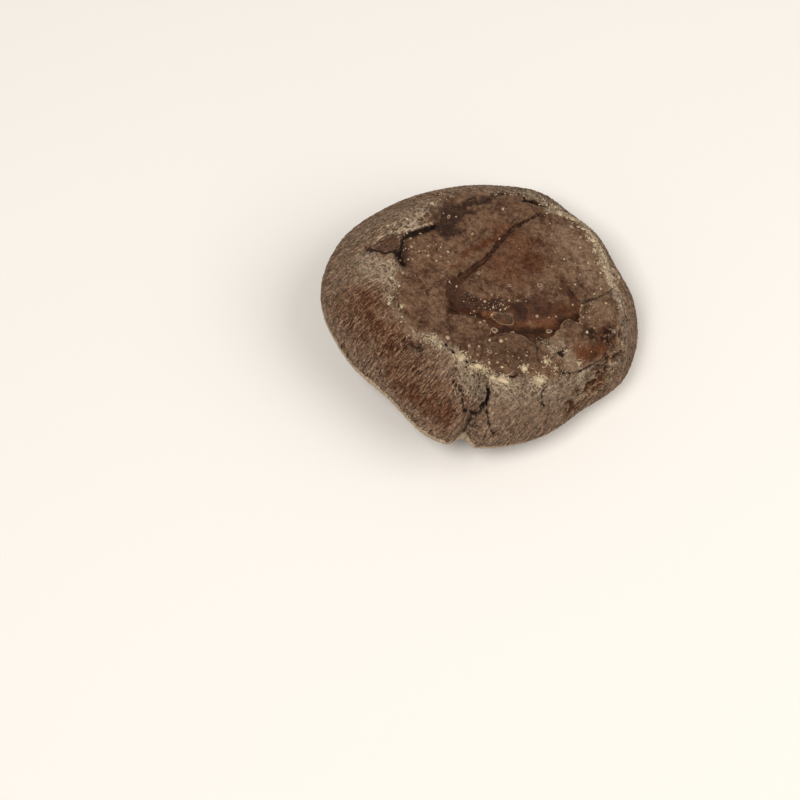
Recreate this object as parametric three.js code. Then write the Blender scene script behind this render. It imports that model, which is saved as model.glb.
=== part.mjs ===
// One large shiitake mushroom, set down cap up. It rests on the cut end of its stem and on the
// low side of its rim, so the whole mushroom leans a little. Millimetres, +Z up, and the origin
// is the middle of the stem's cut end, on the surface that the mushroom stands on.
//
// The cap, the gills and the stem are drawn in the cap's own frame, where Z is the cap's axis
// and z = 0 is the level of the rim. One group then leans all three over together.
import * as THREE from "three";

// Outline of the cap seen along its axis, anticlockwise from +X in equal steps.
const rimRadii = [
  38.2, 35, 35, 36, 34.2, 33.7, 36.5, 40.5, 41.5, 38.4, 35, 37, 35.4, 34.2, 33.3, 37.1,
];
// Edge of the flat top of the cap, in the same steps.
const plateauRadii = [
  29.4, 28.8, 27.3, 25.6, 25.5, 26.2, 27.5, 28.2, 27.3, 27.8, 23.3, 23, 24.3, 25, 27, 29.2,
];
const plateauHeight = 19.5;
const bellyHeight = 4.4; // where the cap is widest
const lipDepth = 4.8; // how far the rolled-in margin reaches back under the cap
const fleshHeight = 12.2; // level of the cap's underside over the stem
const capSides = 72;

const leanAngle = 12.5;
const leanTowards = 14; // compass angle of the low side, anticlockwise from +X

const clearance = 0.4; // between the cap, the gills and the stem
const gillPairs = 42; // long gills, each followed by a short one
const gillHalfWidth = 0.45;
const gillPlate = 1.1; // flesh that the gills hang from
const shortGillsFrom = [0.42, 0.6]; // share of the radius where the short gills rise to full depth

const stemRadius = 7.4;
const footRadius = 7.8;
const footShift = new THREE.Vector2(-1.6, 0.9); // the stem bends this far on its way down
const stemSides = 30;

const fullTurn = 2 * Math.PI;
const radians = THREE.MathUtils.degToRad;
const { lerp, smoothstep } = THREE.MathUtils;

// A smooth closed outline: the radius at any angle, from radii given in equal steps.
function radiusAt(radii, angle) {
  const place = ((angle / fullTurn) * radii.length + radii.length) % radii.length;
  const step = Math.floor(place);
  const t = place - step;
  const [a, b, c, d] = [-1, 0, 1, 2].map((k) => radii[(step + k + radii.length) % radii.length]);
  return b + 0.5 * t * (c - a + t * (2 * a - 5 * b + 4 * c - d + t * (3 * (b - c) + d - a)));
}

// Distance from a point to a chain of points, all seen along the cap's axis.
function distanceTo(chain, x, y) {
  const point = new THREE.Vector3(x, y, 0);
  const nearest = new THREE.Vector3();
  let least = Infinity;
  for (let i = 0; i + 1 < chain.length; i++) {
    const span = new THREE.Line3(new THREE.Vector3(...chain[i], 0), new THREE.Vector3(...chain[i + 1], 0));
    span.closestPointToPoint(point, true, nearest);
    least = Math.min(least, nearest.distanceTo(point));
  }
  return least;
}

// What time and drying did to the skin: sunken bruises, cracks and the lifted edges of its
// plates. Each is a chain of points seen along the cap's axis, its half width and its height.
const skinMarks = [
  { name: "sunken crescent", height: -1.5, halfWidth: 4.2,
    chain: [[-12.5, -2], [-11, -5], [-3, -6.5], [2.5, -7.5], [8.5, -8.5], [13.5, -7], [17, -5]] },
  { name: "crescent horn", height: -0.7, halfWidth: 2.2, chain: [[17, -5], [16, 1], [15, 3.5]] },
  { name: "long crack", height: -0.9, halfWidth: 1.8, chain: [[-10.5, 1.5], [-3.5, 8], [2, 15], [8, 20]] },
  { name: "dark hollow", height: -0.8, halfWidth: 4.5, chain: [[-17.5, 15], [-11, 19.5], [-3, 24]] },
  { name: "left crack", height: -0.9, halfWidth: 1.9, chain: [[-25.5, 4.5], [-25, 10], [-17.5, 14.5]] },
  { name: "left wedge", height: -1, halfWidth: 2.4, chain: [[-33, 9], [-28.5, 9.8]] },
  { name: "plate crack", height: -0.8, halfWidth: 1.7, chain: [[19, -4], [22, -0.5], [28, 0.5]] },
  { name: "lower right crack", height: -0.8, halfWidth: 1.7, chain: [[14.5, -20.5], [19, -20], [23.5, -17.5]] },
  { name: "bruise", height: -1, halfWidth: 3, chain: [[24, -11], [23, -13]] },
  { name: "middle plate", height: 0.7, halfWidth: 2.2, chain: [[-3, -14.5], [2.5, -13.2], [7.5, -16.5]] },
  { name: "right plate", height: 0.7, halfWidth: 2.2, chain: [[12.5, -12], [15, -10.5], [19, -10]] },
  { name: "shoulder ridge", height: 0.8, halfWidth: 3, chain: [[-25, -6], [-18, -13], [-12, -19]] },
  { name: "rim split", height: -1.8, halfWidth: 2.4, chain: [[-7, -37], [-7, -31], [-5.5, -26], [-5, -23]] },
];
const rimNotch = { angle: -101, depth: 2.7, halfAngle: 6 };

// Height of the skin over the smooth cap at a place seen along the axis.
function skinRelief(x, y) {
  const swell = 0.35 * Math.sin(x / 7 + 0.6) * Math.cos(y / 6.3) + 0.2 * Math.sin((x - y) / 3.7);
  return skinMarks.reduce((sum, mark) => {
    const nearness = 1 - distanceTo(mark.chain, x, y) / mark.halfWidth;
    return sum + mark.height * smoothstep(nearness, 0, 1);
  }, swell);
}

function rimRadius(angle) {
  const off = Math.abs(((THREE.MathUtils.radToDeg(angle) - rimNotch.angle + 540) % 360) - 180);
  return radiusAt(rimRadii, angle) - rimNotch.depth * smoothstep(1 - off / rimNotch.halfAngle, 0, 1);
}

// The cap's section at one angle, from the top of its axis over the flank and round the
// rolled-in margin. Each entry is a distance from the axis and a height.
function topSection(angle) {
  const rim = rimRadius(angle);
  const lipInside = radiusAt(rimRadii, angle) - lipDepth;
  const lip = (share) => lerp(rim, lipInside, share);
  const plateau = radiusAt(plateauRadii, angle);
  const flank = (share) => lerp(plateau, rim, share);
  return [
    [0, plateauHeight - 0.3],
    [0.5 * plateau, plateauHeight - 0.1],
    [0.85 * plateau, plateauHeight + 0.2],
    [plateau, plateauHeight - 0.9],
    [flank(0.36), 16.2],
    [flank(0.7), 12],
    [flank(0.92), 7.8],
    [rim, bellyHeight],
    [lip(0.19), 1.6],
    [lip(0.54), 0],
    [lip(0.83), 0.9],
    [lipInside, 2.8],
  ];
}

// The flesh over the gills, from the rolled-in margin back to the axis.
function underSection(angle) {
  const roof = radiusAt(rimRadii, angle) - lipDepth;
  return [
    [roof - 0.4, 5.2],
    [0.88 * roof, 8],
    [0.68 * roof, 10.3],
    [0.4 * roof, 11.7],
    [0, fleshHeight],
  ];
}

// Rings of points round the axis, joined into one closed skin. Two neighbouring rings may
// hold different numbers of points; each point carries its angle as a share of the turn.
class RingSkin {
  positions = [];
  triangles = [];

  addPoint(x, y, z) {
    return this.positions.push(x, y, z) / 3 - 1;
  }

  addRing(points) {
    return points.map(({ x, y, z, share }) => ({ index: this.addPoint(x, y, z), share }));
  }

  join(upper, lower) {
    const next = (ring, i) => (i < ring.length ? ring[i].share : ring[0].share + 1);
    let a = 0;
    let b = 0;
    while (a < upper.length || b < lower.length) {
      const from = upper[a % upper.length].index;
      const to = lower[b % lower.length].index;
      const stepUpper = b === lower.length || (a < upper.length && next(upper, a + 1) < next(lower, b + 1));
      if (stepUpper) this.triangles.push(from, to, upper[++a % upper.length].index);
      else this.triangles.push(from, to, lower[++b % lower.length].index);
    }
  }

  closeTop(pole, ring) {
    ring.forEach((p, i) => this.triangles.push(pole, p.index, ring[(i + 1) % ring.length].index));
  }

  closeBottom(ring, pole) {
    ring.forEach((p, i) => this.triangles.push(p.index, pole, ring[(i + 1) % ring.length].index));
  }

  geometry() {
    const made = new THREE.BufferGeometry();
    made.setAttribute("position", new THREE.Float32BufferAttribute(this.positions, 3));
    made.setIndex(this.triangles);
    made.computeVertexNormals();
    return made;
  }
}

const splineOf = (section) => new THREE.SplineCurve(section.map((p) => new THREE.Vector2(...p)));

function makeCap() {
  const skin = new RingSkin();
  const stepsPerSpan = [5, 5, 5, 3, 3, 3, 3, 2, 2, 2, 2];
  const stations = stepsPerSpan.flatMap((steps, span) =>
    Array.from({ length: steps }, (_, k) => (span + (k + 1) / steps) / stepsPerSpan.length));
  const angles = Array.from({ length: capSides }, (_, i) => (i / capSides) * fullTurn);
  const sections = angles.map((angle) => splineOf(topSection(angle)));

  const topPoint = (angle, section, station) => {
    const p = section.getPoint(station);
    const along = section.getTangent(station);
    const lift = skinRelief(p.x * Math.cos(angle), p.x * Math.sin(angle)) * smoothstep(p.y, 1, 9);
    const r = p.x - along.y * lift;
    return { x: r * Math.cos(angle), y: r * Math.sin(angle), z: p.y + along.x * lift, share: angle / fullTurn };
  };

  const pole = skin.addPoint(0, 0, plateauHeight - 0.3 + skinRelief(0, 0));
  let last = skin.addRing(angles.map((angle, i) => topPoint(angle, sections[i], stations[0])));
  skin.closeTop(pole, last);
  for (const station of stations.slice(1)) {
    const ring = skin.addRing(angles.map((angle, i) => topPoint(angle, sections[i], station)));
    skin.join(last, ring);
    last = ring;
  }
  for (let k = 0; k < underSection(0).length - 1; k++) {
    const ring = skin.addRing(angles.map((angle) => {
      const [r, z] = underSection(angle)[k];
      return { x: r * Math.cos(angle), y: r * Math.sin(angle), z, share: angle / fullTurn };
    }));
    skin.join(last, ring);
    last = ring;
  }
  skin.closeBottom(last, skin.addPoint(0, 0, fleshHeight));
  return skin.geometry();
}

// The gills hang from a thin plate of pale flesh that follows the underside of the cap. Long
// ones run from the stem to the margin, and a short one stands in each gap near the margin.
function makeGills() {
  const skin = new RingSkin();
  const gills = 2 * gillPairs;
  const pitch = fullTurn / gills;
  const inner = stemRadius + clearance;

  // The roof over the gills: a share of 0 is at the stem and 1 is at the margin.
  const roofPoint = (angle, share) => {
    const roof = underSection(angle);
    const r = lerp(inner, roof[0][0] - clearance, share);
    const span = roof.findIndex(([reach], k) => reach > r && roof[k + 1][0] <= r);
    const [[outer, low], [nearer, high]] = [roof[span], roof[span + 1]];
    return { r, z: lerp(low, high, (outer - r) / (outer - nearer)) - clearance };
  };
  const around = (angle, r, z) => ({ x: r * Math.cos(angle), y: r * Math.sin(angle), z, share: angle / fullTurn });

  // Level of a gill's free edge, from the stem (0) to the margin (1).
  const edgeLevel = splineOf([[0, 6.3], [0.25, 5.2], [0.5, 4.3], [0.75, 3.7], [0.93, 3.4], [1, 4.4]]);

  const plateShares = [0, 0.25, 0.5, 0.72, 0.88, 1];
  const plate = plateShares.map((share) =>
    Array.from({ length: gills }, (_, k) => {
      const angle = k * pitch;
      const { r, z } = roofPoint(angle, share);
      return around(angle, r, z);
    }));

  const edgeShares = [1, 0.95, 0.84, 0.7, 0.58, 0.46, 0.34, 0.17, 0];
  const edges = edgeShares.map((share) =>
    Array.from({ length: gills }, (_, k) => {
      const middle = k * pitch + 0.28 * pitch * Math.sin(5 * share + 2.2 * Math.sin(0.37 * k));
      const isShort = k % 2 === 1;
      const grown = isShort ? smoothstep(share, ...shortGillsFrom) : 1;
      const { r, z } = roofPoint(middle, share);
      const half = Math.min(gillHalfWidth / r, (isShort ? 0.2 : 0.36) * pitch);
      const valley = z - gillPlate * (share === 1 ? 0.6 : 1);
      const crest = lerp(valley, edgeLevel.getPoint(share).y, grown);
      return [
        around(middle - half, r, crest),
        around(middle + half, r, crest),
        around(k * pitch + pitch / 2, r, valley),
      ];
    }).flat());

  const rings = [...plate, ...edges].map((points) => skin.addRing(points));
  rings.forEach((ring, i) => skin.join(ring, rings[(i + 1) % rings.length]));
  return skin.geometry();
}

// A tough, slightly bent stem. Its foot is cut off level with the surface it stands on, which
// lies askew in the cap's frame: floorAt gives that surface's height at any place.
function makeStem(floorAt) {
  const skin = new RingSkin();
  const top = fleshHeight - clearance - 0.2;
  // Share of the way down and radius.
  const outline = [
    [0, 5.2], [0.03, 6.8], [0.08, stemRadius], [0.2, stemRadius - 0.1], [0.34, stemRadius - 0.5],
    [0.5, 6.5], [0.64, 6.4], [0.78, 6.8], [0.89, 7.5], [0.96, footRadius], [1, footRadius - 0.5],
  ];
  const rings = outline.map(([down, radius]) => skin.addRing(
    Array.from({ length: stemSides }, (_, i) => {
      const angle = (i / stemSides) * fullTurn;
      const bend = smoothstep(down, 0.25, 1);
      const fibres = 1 + 0.035 * Math.sin(5 * angle + 3 * down) * smoothstep(down, 0.25, 0.5);
      const x = footShift.x * bend + radius * fibres * Math.cos(angle);
      const y = footShift.y * bend + radius * fibres * Math.sin(angle);
      return { x, y, z: lerp(top, floorAt(x, y), down), share: i / stemSides };
    })));
  skin.closeTop(skin.addPoint(0, 0, top), rings[0]);
  for (let i = 0; i + 1 < rings.length; i++) skin.join(rings[i], rings[i + 1]);
  const foot = skin.addPoint(footShift.x, footShift.y, floorAt(footShift.x, footShift.y));
  skin.closeBottom(rings.at(-1), foot);
  return skin.geometry();
}

// The lean turns the cap's axis towards its low side.
const towards = radians(leanTowards);
const leanAxis = new THREE.Vector3(-Math.sin(towards), Math.cos(towards), 0);
const lean = new THREE.Quaternion().setFromAxisAngle(leanAxis, radians(leanAngle));

const capGeometry = makeCap();
const leaned = new THREE.Box3().setFromBufferAttribute(
  capGeometry.clone().applyQuaternion(lean).getAttribute("position"));
const floor = leaned.min.z; // the surface touches the lowest point of the rim

const up = new THREE.Vector3(0, 0, 1).applyQuaternion(lean.clone().invert());
const floorAt = (x, y) => (floor - up.x * x - up.y * y) / up.z;
const foot = new THREE.Vector3(footShift.x, footShift.y, floorAt(footShift.x, footShift.y));

// Named solids, in the colours of the real thing.
function solid(name, geometry, color, roughness) {
  const mesh = new THREE.Mesh(geometry, new THREE.MeshStandardMaterial({ color, roughness, metalness: 0 }));
  mesh.name = name;
  return mesh;
}

const mushroom = new THREE.Group();
const leaning = new THREE.Group();
leaning.quaternion.copy(lean);
leaning.position.copy(foot.applyQuaternion(lean).negate());
leaning.add(
  solid("cap", capGeometry, "#6c543f", 0.9),
  solid("gills", makeGills(), "#b39a78", 0.85),
  solid("stem", makeStem(floorAt), "#a58c6d", 0.9),
);
mushroom.add(leaning);

export default mushroom;
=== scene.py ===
# A whole shiitake mushroom that rests on its cut stem and on the low side of its rim.
# Finer pieces take over the plain solids: the cap's skin, the leaves and plate of the gills, the stem.
# Flecks, frayed tufts and fibres of dry skin lie on the cap. Sizes are millimetres up to the meshes.
import math
import random
import bpy
import numpy as np
from mathutils import Matrix, Vector, noise
from mathutils.kdtree import KDTree


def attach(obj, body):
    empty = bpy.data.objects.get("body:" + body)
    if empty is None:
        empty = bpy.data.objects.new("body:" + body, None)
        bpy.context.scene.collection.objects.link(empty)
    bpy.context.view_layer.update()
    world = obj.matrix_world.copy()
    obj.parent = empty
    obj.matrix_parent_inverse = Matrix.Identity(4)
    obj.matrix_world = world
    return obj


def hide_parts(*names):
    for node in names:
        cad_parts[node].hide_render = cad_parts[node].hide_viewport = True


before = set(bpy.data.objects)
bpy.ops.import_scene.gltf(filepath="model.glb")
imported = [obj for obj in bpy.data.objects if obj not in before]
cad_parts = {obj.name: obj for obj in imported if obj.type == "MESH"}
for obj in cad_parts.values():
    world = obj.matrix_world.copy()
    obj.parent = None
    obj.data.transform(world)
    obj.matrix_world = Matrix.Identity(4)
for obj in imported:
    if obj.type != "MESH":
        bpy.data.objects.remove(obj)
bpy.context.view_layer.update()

mm = 0.001
scene = bpy.context.scene

# Camera, at the photograph's angle
view = {
    "lens": 100, "sensor": 36, "frame": 800,
    "elevation": 70, "distance": 533,
    "aimPixel": (503, 287),    # where the middle of the cap's flat top lies in the photograph
}

cap = {
    "rim": [38.2, 35, 35, 36, 34.2, 33.7, 36.5, 40.5, 41.5, 38.4, 35, 37, 35.4, 34.2, 33.3, 37.1],
    "plateau": [29.4, 28.8, 27.3, 25.6, 25.5, 26.2, 27.5, 28.2, 27.3, 27.8, 23.3, 23, 24.3, 25, 27, 29.2],
    "top": 19.5, "belly": 4.4, "lipDepth": 4.8, "flesh": 12.2,
    "notchAngle": -101, "notchDepth": 2.7, "notchHalfAngle": 6,
    "lean": 12.5, "leanTowards": 14,
    "footShift": (-1.6, 0.9),  # the stem's cut end, seen along the cap's axis
    "grid": 280,               # squares along one side of the sheet that becomes the top
    # places along the section: the rim's widest, the rings of the lip, and the lip's lowest
    "bellyPlace": 7, "lipPlaces": [7.35, 7.7, 8.05, 8.4, 8.8, 9.3, 9.8, 10.4, 11], "lowPlace": 9.0,
    "lipGap": 0.4,
    "underside": [(0.99, 5.2), (0.88, 8), (0.68, 10.3), (0.4, 11.7)],  # share of the lip's radius, height
}


def smooth(value, low, high):
    t = np.clip((value - low) / (high - low), 0, 1)
    return t * t * (3 - 2 * t)


def mix(a, b, share):
    return a + (b - a) * share


def ways(angle):               # directions on the plan
    return np.stack([np.cos(angle), np.sin(angle)], axis=1)


def radiusAt(radii, angle):    # a smooth closed outline from radii in equal steps
    radii = np.asarray(radii)
    place = (angle / (2 * np.pi) * len(radii)) % len(radii)
    step = np.floor(place).astype(int)
    t = place - step
    a, b, c, d = (radii[(step + k) % len(radii)] for k in (-1, 0, 1, 2))
    return b + 0.5 * t * (c - a + t * (2 * a - 5 * b + 4 * c - d + t * (3 * (b - c) + d - a)))


def grainAt(points, size, seed, octaves=3):    # soft noise, about -1 to 1
    shift = Vector((seed * 17.3, seed * 5.1, seed * 9.7))
    return np.array([noise.fractal(Vector(p) / size + shift, 0.9, 2.1, octaves) for p in points])


# The cap's own frame has its axis along z; lean turns it into the row's frame.
towards = math.radians(cap["leanTowards"])
leanAxis = Vector((-math.sin(towards), math.cos(towards), 0))
lean = np.array(Matrix.Rotation(math.radians(cap["lean"]), 3, leanAxis))


def capSection(angle):         # distance from the axis and height, from the top round to the lip
    rimLine = radiusAt(cap["rim"], angle)
    off = np.abs((np.degrees(angle) - cap["notchAngle"] + 540) % 360 - 180)
    rim = rimLine - cap["notchDepth"] * smooth(1 - off / cap["notchHalfAngle"], 0, 1)
    inner = rimLine - cap["lipDepth"]
    edge = radiusAt(cap["plateau"], angle)
    top = cap["top"]
    points = [
        (0, top - 0.3), (0.5 * edge, top - 0.1), (0.85 * edge, top + 0.2), (edge, top - 0.9),
        (mix(edge, rim, 0.36), 16.2), (mix(edge, rim, 0.7), 12), (mix(edge, rim, 0.92), 7.8),
        (rim, cap["belly"]),
        (mix(rim, inner, 0.19), 1.6), (mix(rim, inner, 0.54), 0), (mix(rim, inner, 0.83), 0.9),
        (inner, 2.8),
    ]
    return np.array([[np.broadcast_to(r, angle.shape), np.broadcast_to(z, angle.shape)] for r, z in points])


def alongSpline(points, place):
    last = len(points) - 1
    step = np.clip(np.floor(place).astype(int), 0, last - 1)
    t = (place - step)[:, None]
    column = np.arange(len(place))
    p0, p1, p2, p3 = (points[np.clip(step + k, 0, last), :, column] for k in (-1, 0, 1, 2))
    v0, v1 = (p2 - p0) / 2, (p3 - p1) / 2
    cubic = 2 * p1 - 2 * p2 + v0 + v1
    square = 3 * p2 - 3 * p1 - 2 * v0 - v1
    return ((cubic * t + square) * t + v0) * t + p1, (3 * cubic * t + 2 * square) * t + v0


def lowestOfLip():             # how far the leaning rim reaches below the cap's own origin
    angle = np.linspace(0, 2 * np.pi, 721)
    spots, _ = alongSpline(capSection(angle), np.full(angle.shape, cap["lowPlace"]))
    ring = np.column_stack([spots[:, :1] * ways(angle), spots[:, 1]])
    return (ring @ lean.T)[:, 2].min()


upInCap = lean.T @ np.array([0, 0, 1.0])
floorLevel = lowestOfLip()


def floorAt(x, y):             # height of the table in the cap's frame
    return (floorLevel - upInCap[0] * x - upInCap[1] * y) / upInCap[2]


foot = np.array([*cap["footShift"], floorAt(*cap["footShift"])])
capPlace = -lean @ foot        # the row's origin is the middle of the stem's cut end


def toRow(points):
    return np.asarray(points) @ lean.T + capPlace


# Camera axes and eye, so that the middle of the flat top falls on its pixel
tilt = math.radians(view["elevation"])
camRight = np.array([1.0, 0, 0])
camUp = np.array([0, math.sin(tilt), math.cos(tilt)])
camBack = np.array([0, -math.cos(tilt), math.sin(tilt)])
focal = view["frame"] * view["lens"] / view["sensor"]
half = view["frame"] / 2
aimAcross = (view["aimPixel"][0] - half) / focal
aimUp = (half - view["aimPixel"][1]) / focal
aimSpot = toRow([0, 0, cap["top"]])
eye = aimSpot + view["distance"] * (camBack - aimAcross * camRight - aimUp * camUp)


def toPixels(rowPoints):
    offset = rowPoints - eye
    depth = -(offset @ camBack)
    across = half + focal * (offset @ camRight) / depth
    down = half - focal * (offset @ camUp) / depth
    return np.stack([across, down], axis=1)


def makeCamera():
    data = bpy.data.cameras.new("camera")
    data.lens = view["lens"]
    data.sensor_width = view["sensor"]
    data.clip_start = 0.01
    camera = bpy.data.objects.new("camera", data)
    scene.collection.objects.link(camera)
    camera.location = eye * mm
    camera.rotation_euler = (math.radians(90 - view["elevation"]), 0, 0)
    scene.camera = camera


makeCamera()
print("camera set")


# Modelling helpers
def deselectAll():
    if bpy.context.object and bpy.context.object.mode != "OBJECT":
        bpy.ops.object.mode_set(mode="OBJECT")
    bpy.ops.object.select_all(action="DESELECT")


def vertsOf(piece):
    flat = np.empty(len(piece.data.vertices) * 3)
    piece.data.vertices.foreach_get("co", flat)
    return flat.reshape(-1, 3)


def placeVerts(piece, points):
    piece.data.vertices.foreach_set("co", (np.asarray(points) * mm).ravel())
    piece.data.update()


def setMask(piece, name, values):
    attribute = piece.data.attributes.new(name, "FLOAT", "POINT")
    attribute.data.foreach_set("value", np.asarray(values, dtype=np.float32))


def setVectors(piece, name, values):
    attribute = piece.data.attributes.new(name, "FLOAT_VECTOR", "POINT")
    attribute.data.foreach_set("vector", np.asarray(values, dtype=np.float32).ravel())


def finishPiece(piece, material):
    piece.data.materials.clear()
    piece.data.materials.append(material)
    piece.data.polygons.foreach_set("use_smooth", [True] * len(piece.data.polygons))
    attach(piece, "root")


def pieceFrom(name, points, faces):    # one mesh of many small parts, in the row's millimetres
    mesh = bpy.data.meshes.new(name)
    mesh.from_pydata((np.asarray(points) * mm).tolist(), [], faces)
    piece = bpy.data.objects.new(name, mesh)
    scene.collection.objects.link(piece)
    return piece


def faceOutwards():            # all faces of the mesh that is being edited; leaves edit mode
    bpy.ops.mesh.select_all(action="SELECT")
    bpy.ops.mesh.normals_make_consistent(inside=False)
    bpy.ops.object.mode_set(mode="OBJECT")


def ringStack(name, sides, rings):     # an open tube of unit rings, one above another
    deselectAll()
    bpy.ops.mesh.primitive_circle_add(vertices=sides, radius=1, fill_type="NOTHING", location=(0, 0, 0))
    piece = bpy.context.object
    piece.name = piece.data.name = name
    bpy.ops.object.mode_set(mode="EDIT")
    bpy.ops.mesh.select_all(action="SELECT")
    for _ in range(rings - 1):
        bpy.ops.mesh.extrude_region_move(TRANSFORM_OT_translate={"value": (0, 0, 1)})
    bpy.ops.object.mode_set(mode="OBJECT")
    return piece


# Distances on the skin. Every mark is a chain of photo pixels, carried onto the spread-out skin.
def chainDistance(points, chain):
    nearest = np.full(len(points), 1e9)
    share = np.zeros(len(points))
    spans = np.linalg.norm(np.diff(chain, axis=0), axis=1)
    starts = np.concatenate([[0], np.cumsum(spans)])
    for i, (a, b) in enumerate(zip(chain[:-1], chain[1:])):
        span = b - a
        along = np.clip(((points - a) @ span) / max(span @ span, 1e-9), 0, 1)
        distance = np.linalg.norm(points - a - along[:, None] * span, axis=1)
        closer = distance < nearest
        nearest = np.where(closer, distance, nearest)
        share = np.where(closer, (starts[i] + along * spans[i]) / starts[-1], share)
    return nearest, share


def insideDepth(points, outline):      # distance from the outline, above zero inside it
    closed = np.vstack([outline, outline[:1]])
    distance, _ = chainDistance(points, closed)
    inside = np.zeros(len(points), bool)
    x, y = points.T
    for (x0, y0), (x1, y1) in zip(closed[:-1], closed[1:]):
        if y0 != y1:
            inside ^= ((y0 > y) != (y1 > y)) & (x < (x1 - x0) * (y - y0) / (y1 - y0) + x0)
    return np.where(inside, distance, -distance)


# Broad hollows and ridges of the cap: place on the plan in mm, half width and height
broadMarks = [
    (-1.5, 4.2, [(-12.5, -2), (-11, -5), (-3, -6.5), (2.5, -7.5), (8.5, -8.5), (13.5, -7), (17, -5)]),
    (-0.7, 2.2, [(17, -5), (16, 1), (15, 3.5)]),
    (-0.9, 1.8, [(-10.5, 1.5), (-3.5, 8), (2, 15), (8, 20)]),
    (-0.8, 4.5, [(-17.5, 15), (-11, 19.5), (-3, 24)]),
    (-0.9, 1.9, [(-25.5, 4.5), (-25, 10), (-17.5, 14.5)]),
    (-1.0, 2.4, [(-33, 9), (-28.5, 9.8)]),
    (-0.8, 1.7, [(19, -4), (22, -0.5), (28, 0.5)]),
    (-0.8, 1.7, [(14.5, -20.5), (19, -20), (23.5, -17.5)]),
    (-1.0, 3.0, [(24, -11), (23, -13)]),
    (0.7, 2.2, [(-3, -14.5), (2.5, -13.2), (7.5, -16.5)]),
    (0.7, 2.2, [(12.5, -12), (15, -10.5), (19, -10)]),
    (0.8, 3.0, [(-25, -6), (-18, -13), (-12, -19)]),
    (-1.8, 2.4, [(-7, -37), (-7, -31), (-5.5, -26), (-5, -23)]),
]

crescent = [
    (447.9, 281.3), (454.6, 276.8), (461.8, 275.1), (463.5, 279.6), (461, 284.6), (462, 291),
    (467.4, 294.6), (475.2, 294.1), (483, 298), (492, 298.5), (500.9, 298), (507.6, 300.2),
    (516.5, 302.5), (523.2, 299.7), (532.1, 296.9), (542.2, 299.1), (545.5, 302.5), (553.3, 304.7),
    (561.2, 307.5), (569, 305.8), (570.1, 302.5), (567.9, 294.6), (563.4, 286.8), (560.6, 280.1),
    (562.8, 279), (569, 286.8), (575.7, 295.8), (580.1, 301.9), (579.6, 310.3), (578.5, 317),
    (579.6, 322.5), (572.3, 319.2), (567.9, 318.3), (562.8, 321.4), (560.6, 328.1), (554.5, 333.7),
    (546.7, 338.2), (537.7, 339.3), (532.1, 341.5), (525.4, 336.5), (516.5, 333.1), (507.6, 332),
    (500.9, 333.1), (494.2, 335.4), (487.5, 338.2), (492, 332.6), (488.6, 324.8), (480.8, 319.8),
    (471.9, 315.8), (462.9, 314.2), (452.9, 314.7), (447.3, 312.5), (447.9, 299.1), (445.6, 290.2),
]
crescentSharpEdge = [
    (462.9, 314.2), (471.9, 315.8), (480.8, 319.8), (488.6, 324.8), (492, 332.6), (500.9, 333.1),
    (516.5, 333.1), (525.4, 336.5), (532.1, 341.5), (546.7, 338.2), (554.5, 333.7), (560.6, 328.1),
    (562.8, 321.4), (572.3, 319.2), (579.6, 322.5), (578.5, 317), (580.1, 301.9), (575.7, 295.8),
    (569, 286.8), (562.8, 279),
]

# Plates of dry skin, lifted a little along their torn edges
plates = {
    "middle": [
        (494.2, 335.4), (500.9, 333.1), (509.8, 332.6), (517.6, 334.3), (525.4, 338.2), (531, 343.8),
        (534.4, 348.2), (536.5, 357), (537, 366), (521.6, 373.4), (509.5, 377.2), (497, 375), (484, 366),
        (480, 352), (486, 341),
    ],
    "left": [
        (451, 317), (462.9, 315.5), (473, 317), (480.8, 320.3), (487.5, 324.8), (490.8, 330.4),
        (489.7, 335.9), (485.3, 340.4), (478, 352), (470, 358), (458, 350), (451, 338), (450, 327),
    ],
    "rightLobe": [
        (551.1, 346), (552.8, 338.2), (558.9, 330.4), (563.4, 321.4), (568.4, 319.2), (575.7, 321.4),
        (583, 327), (590, 333), (592, 345), (583, 358), (570, 366), (556, 368), (549, 358),
    ],
    "right": [
        (579.6, 322.5), (580, 308), (585, 301.5), (596, 298), (608, 293.5), (614.5, 301), (617.5, 309),
        (617, 319), (610, 327), (598, 331), (588, 330),
    ],
}

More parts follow.
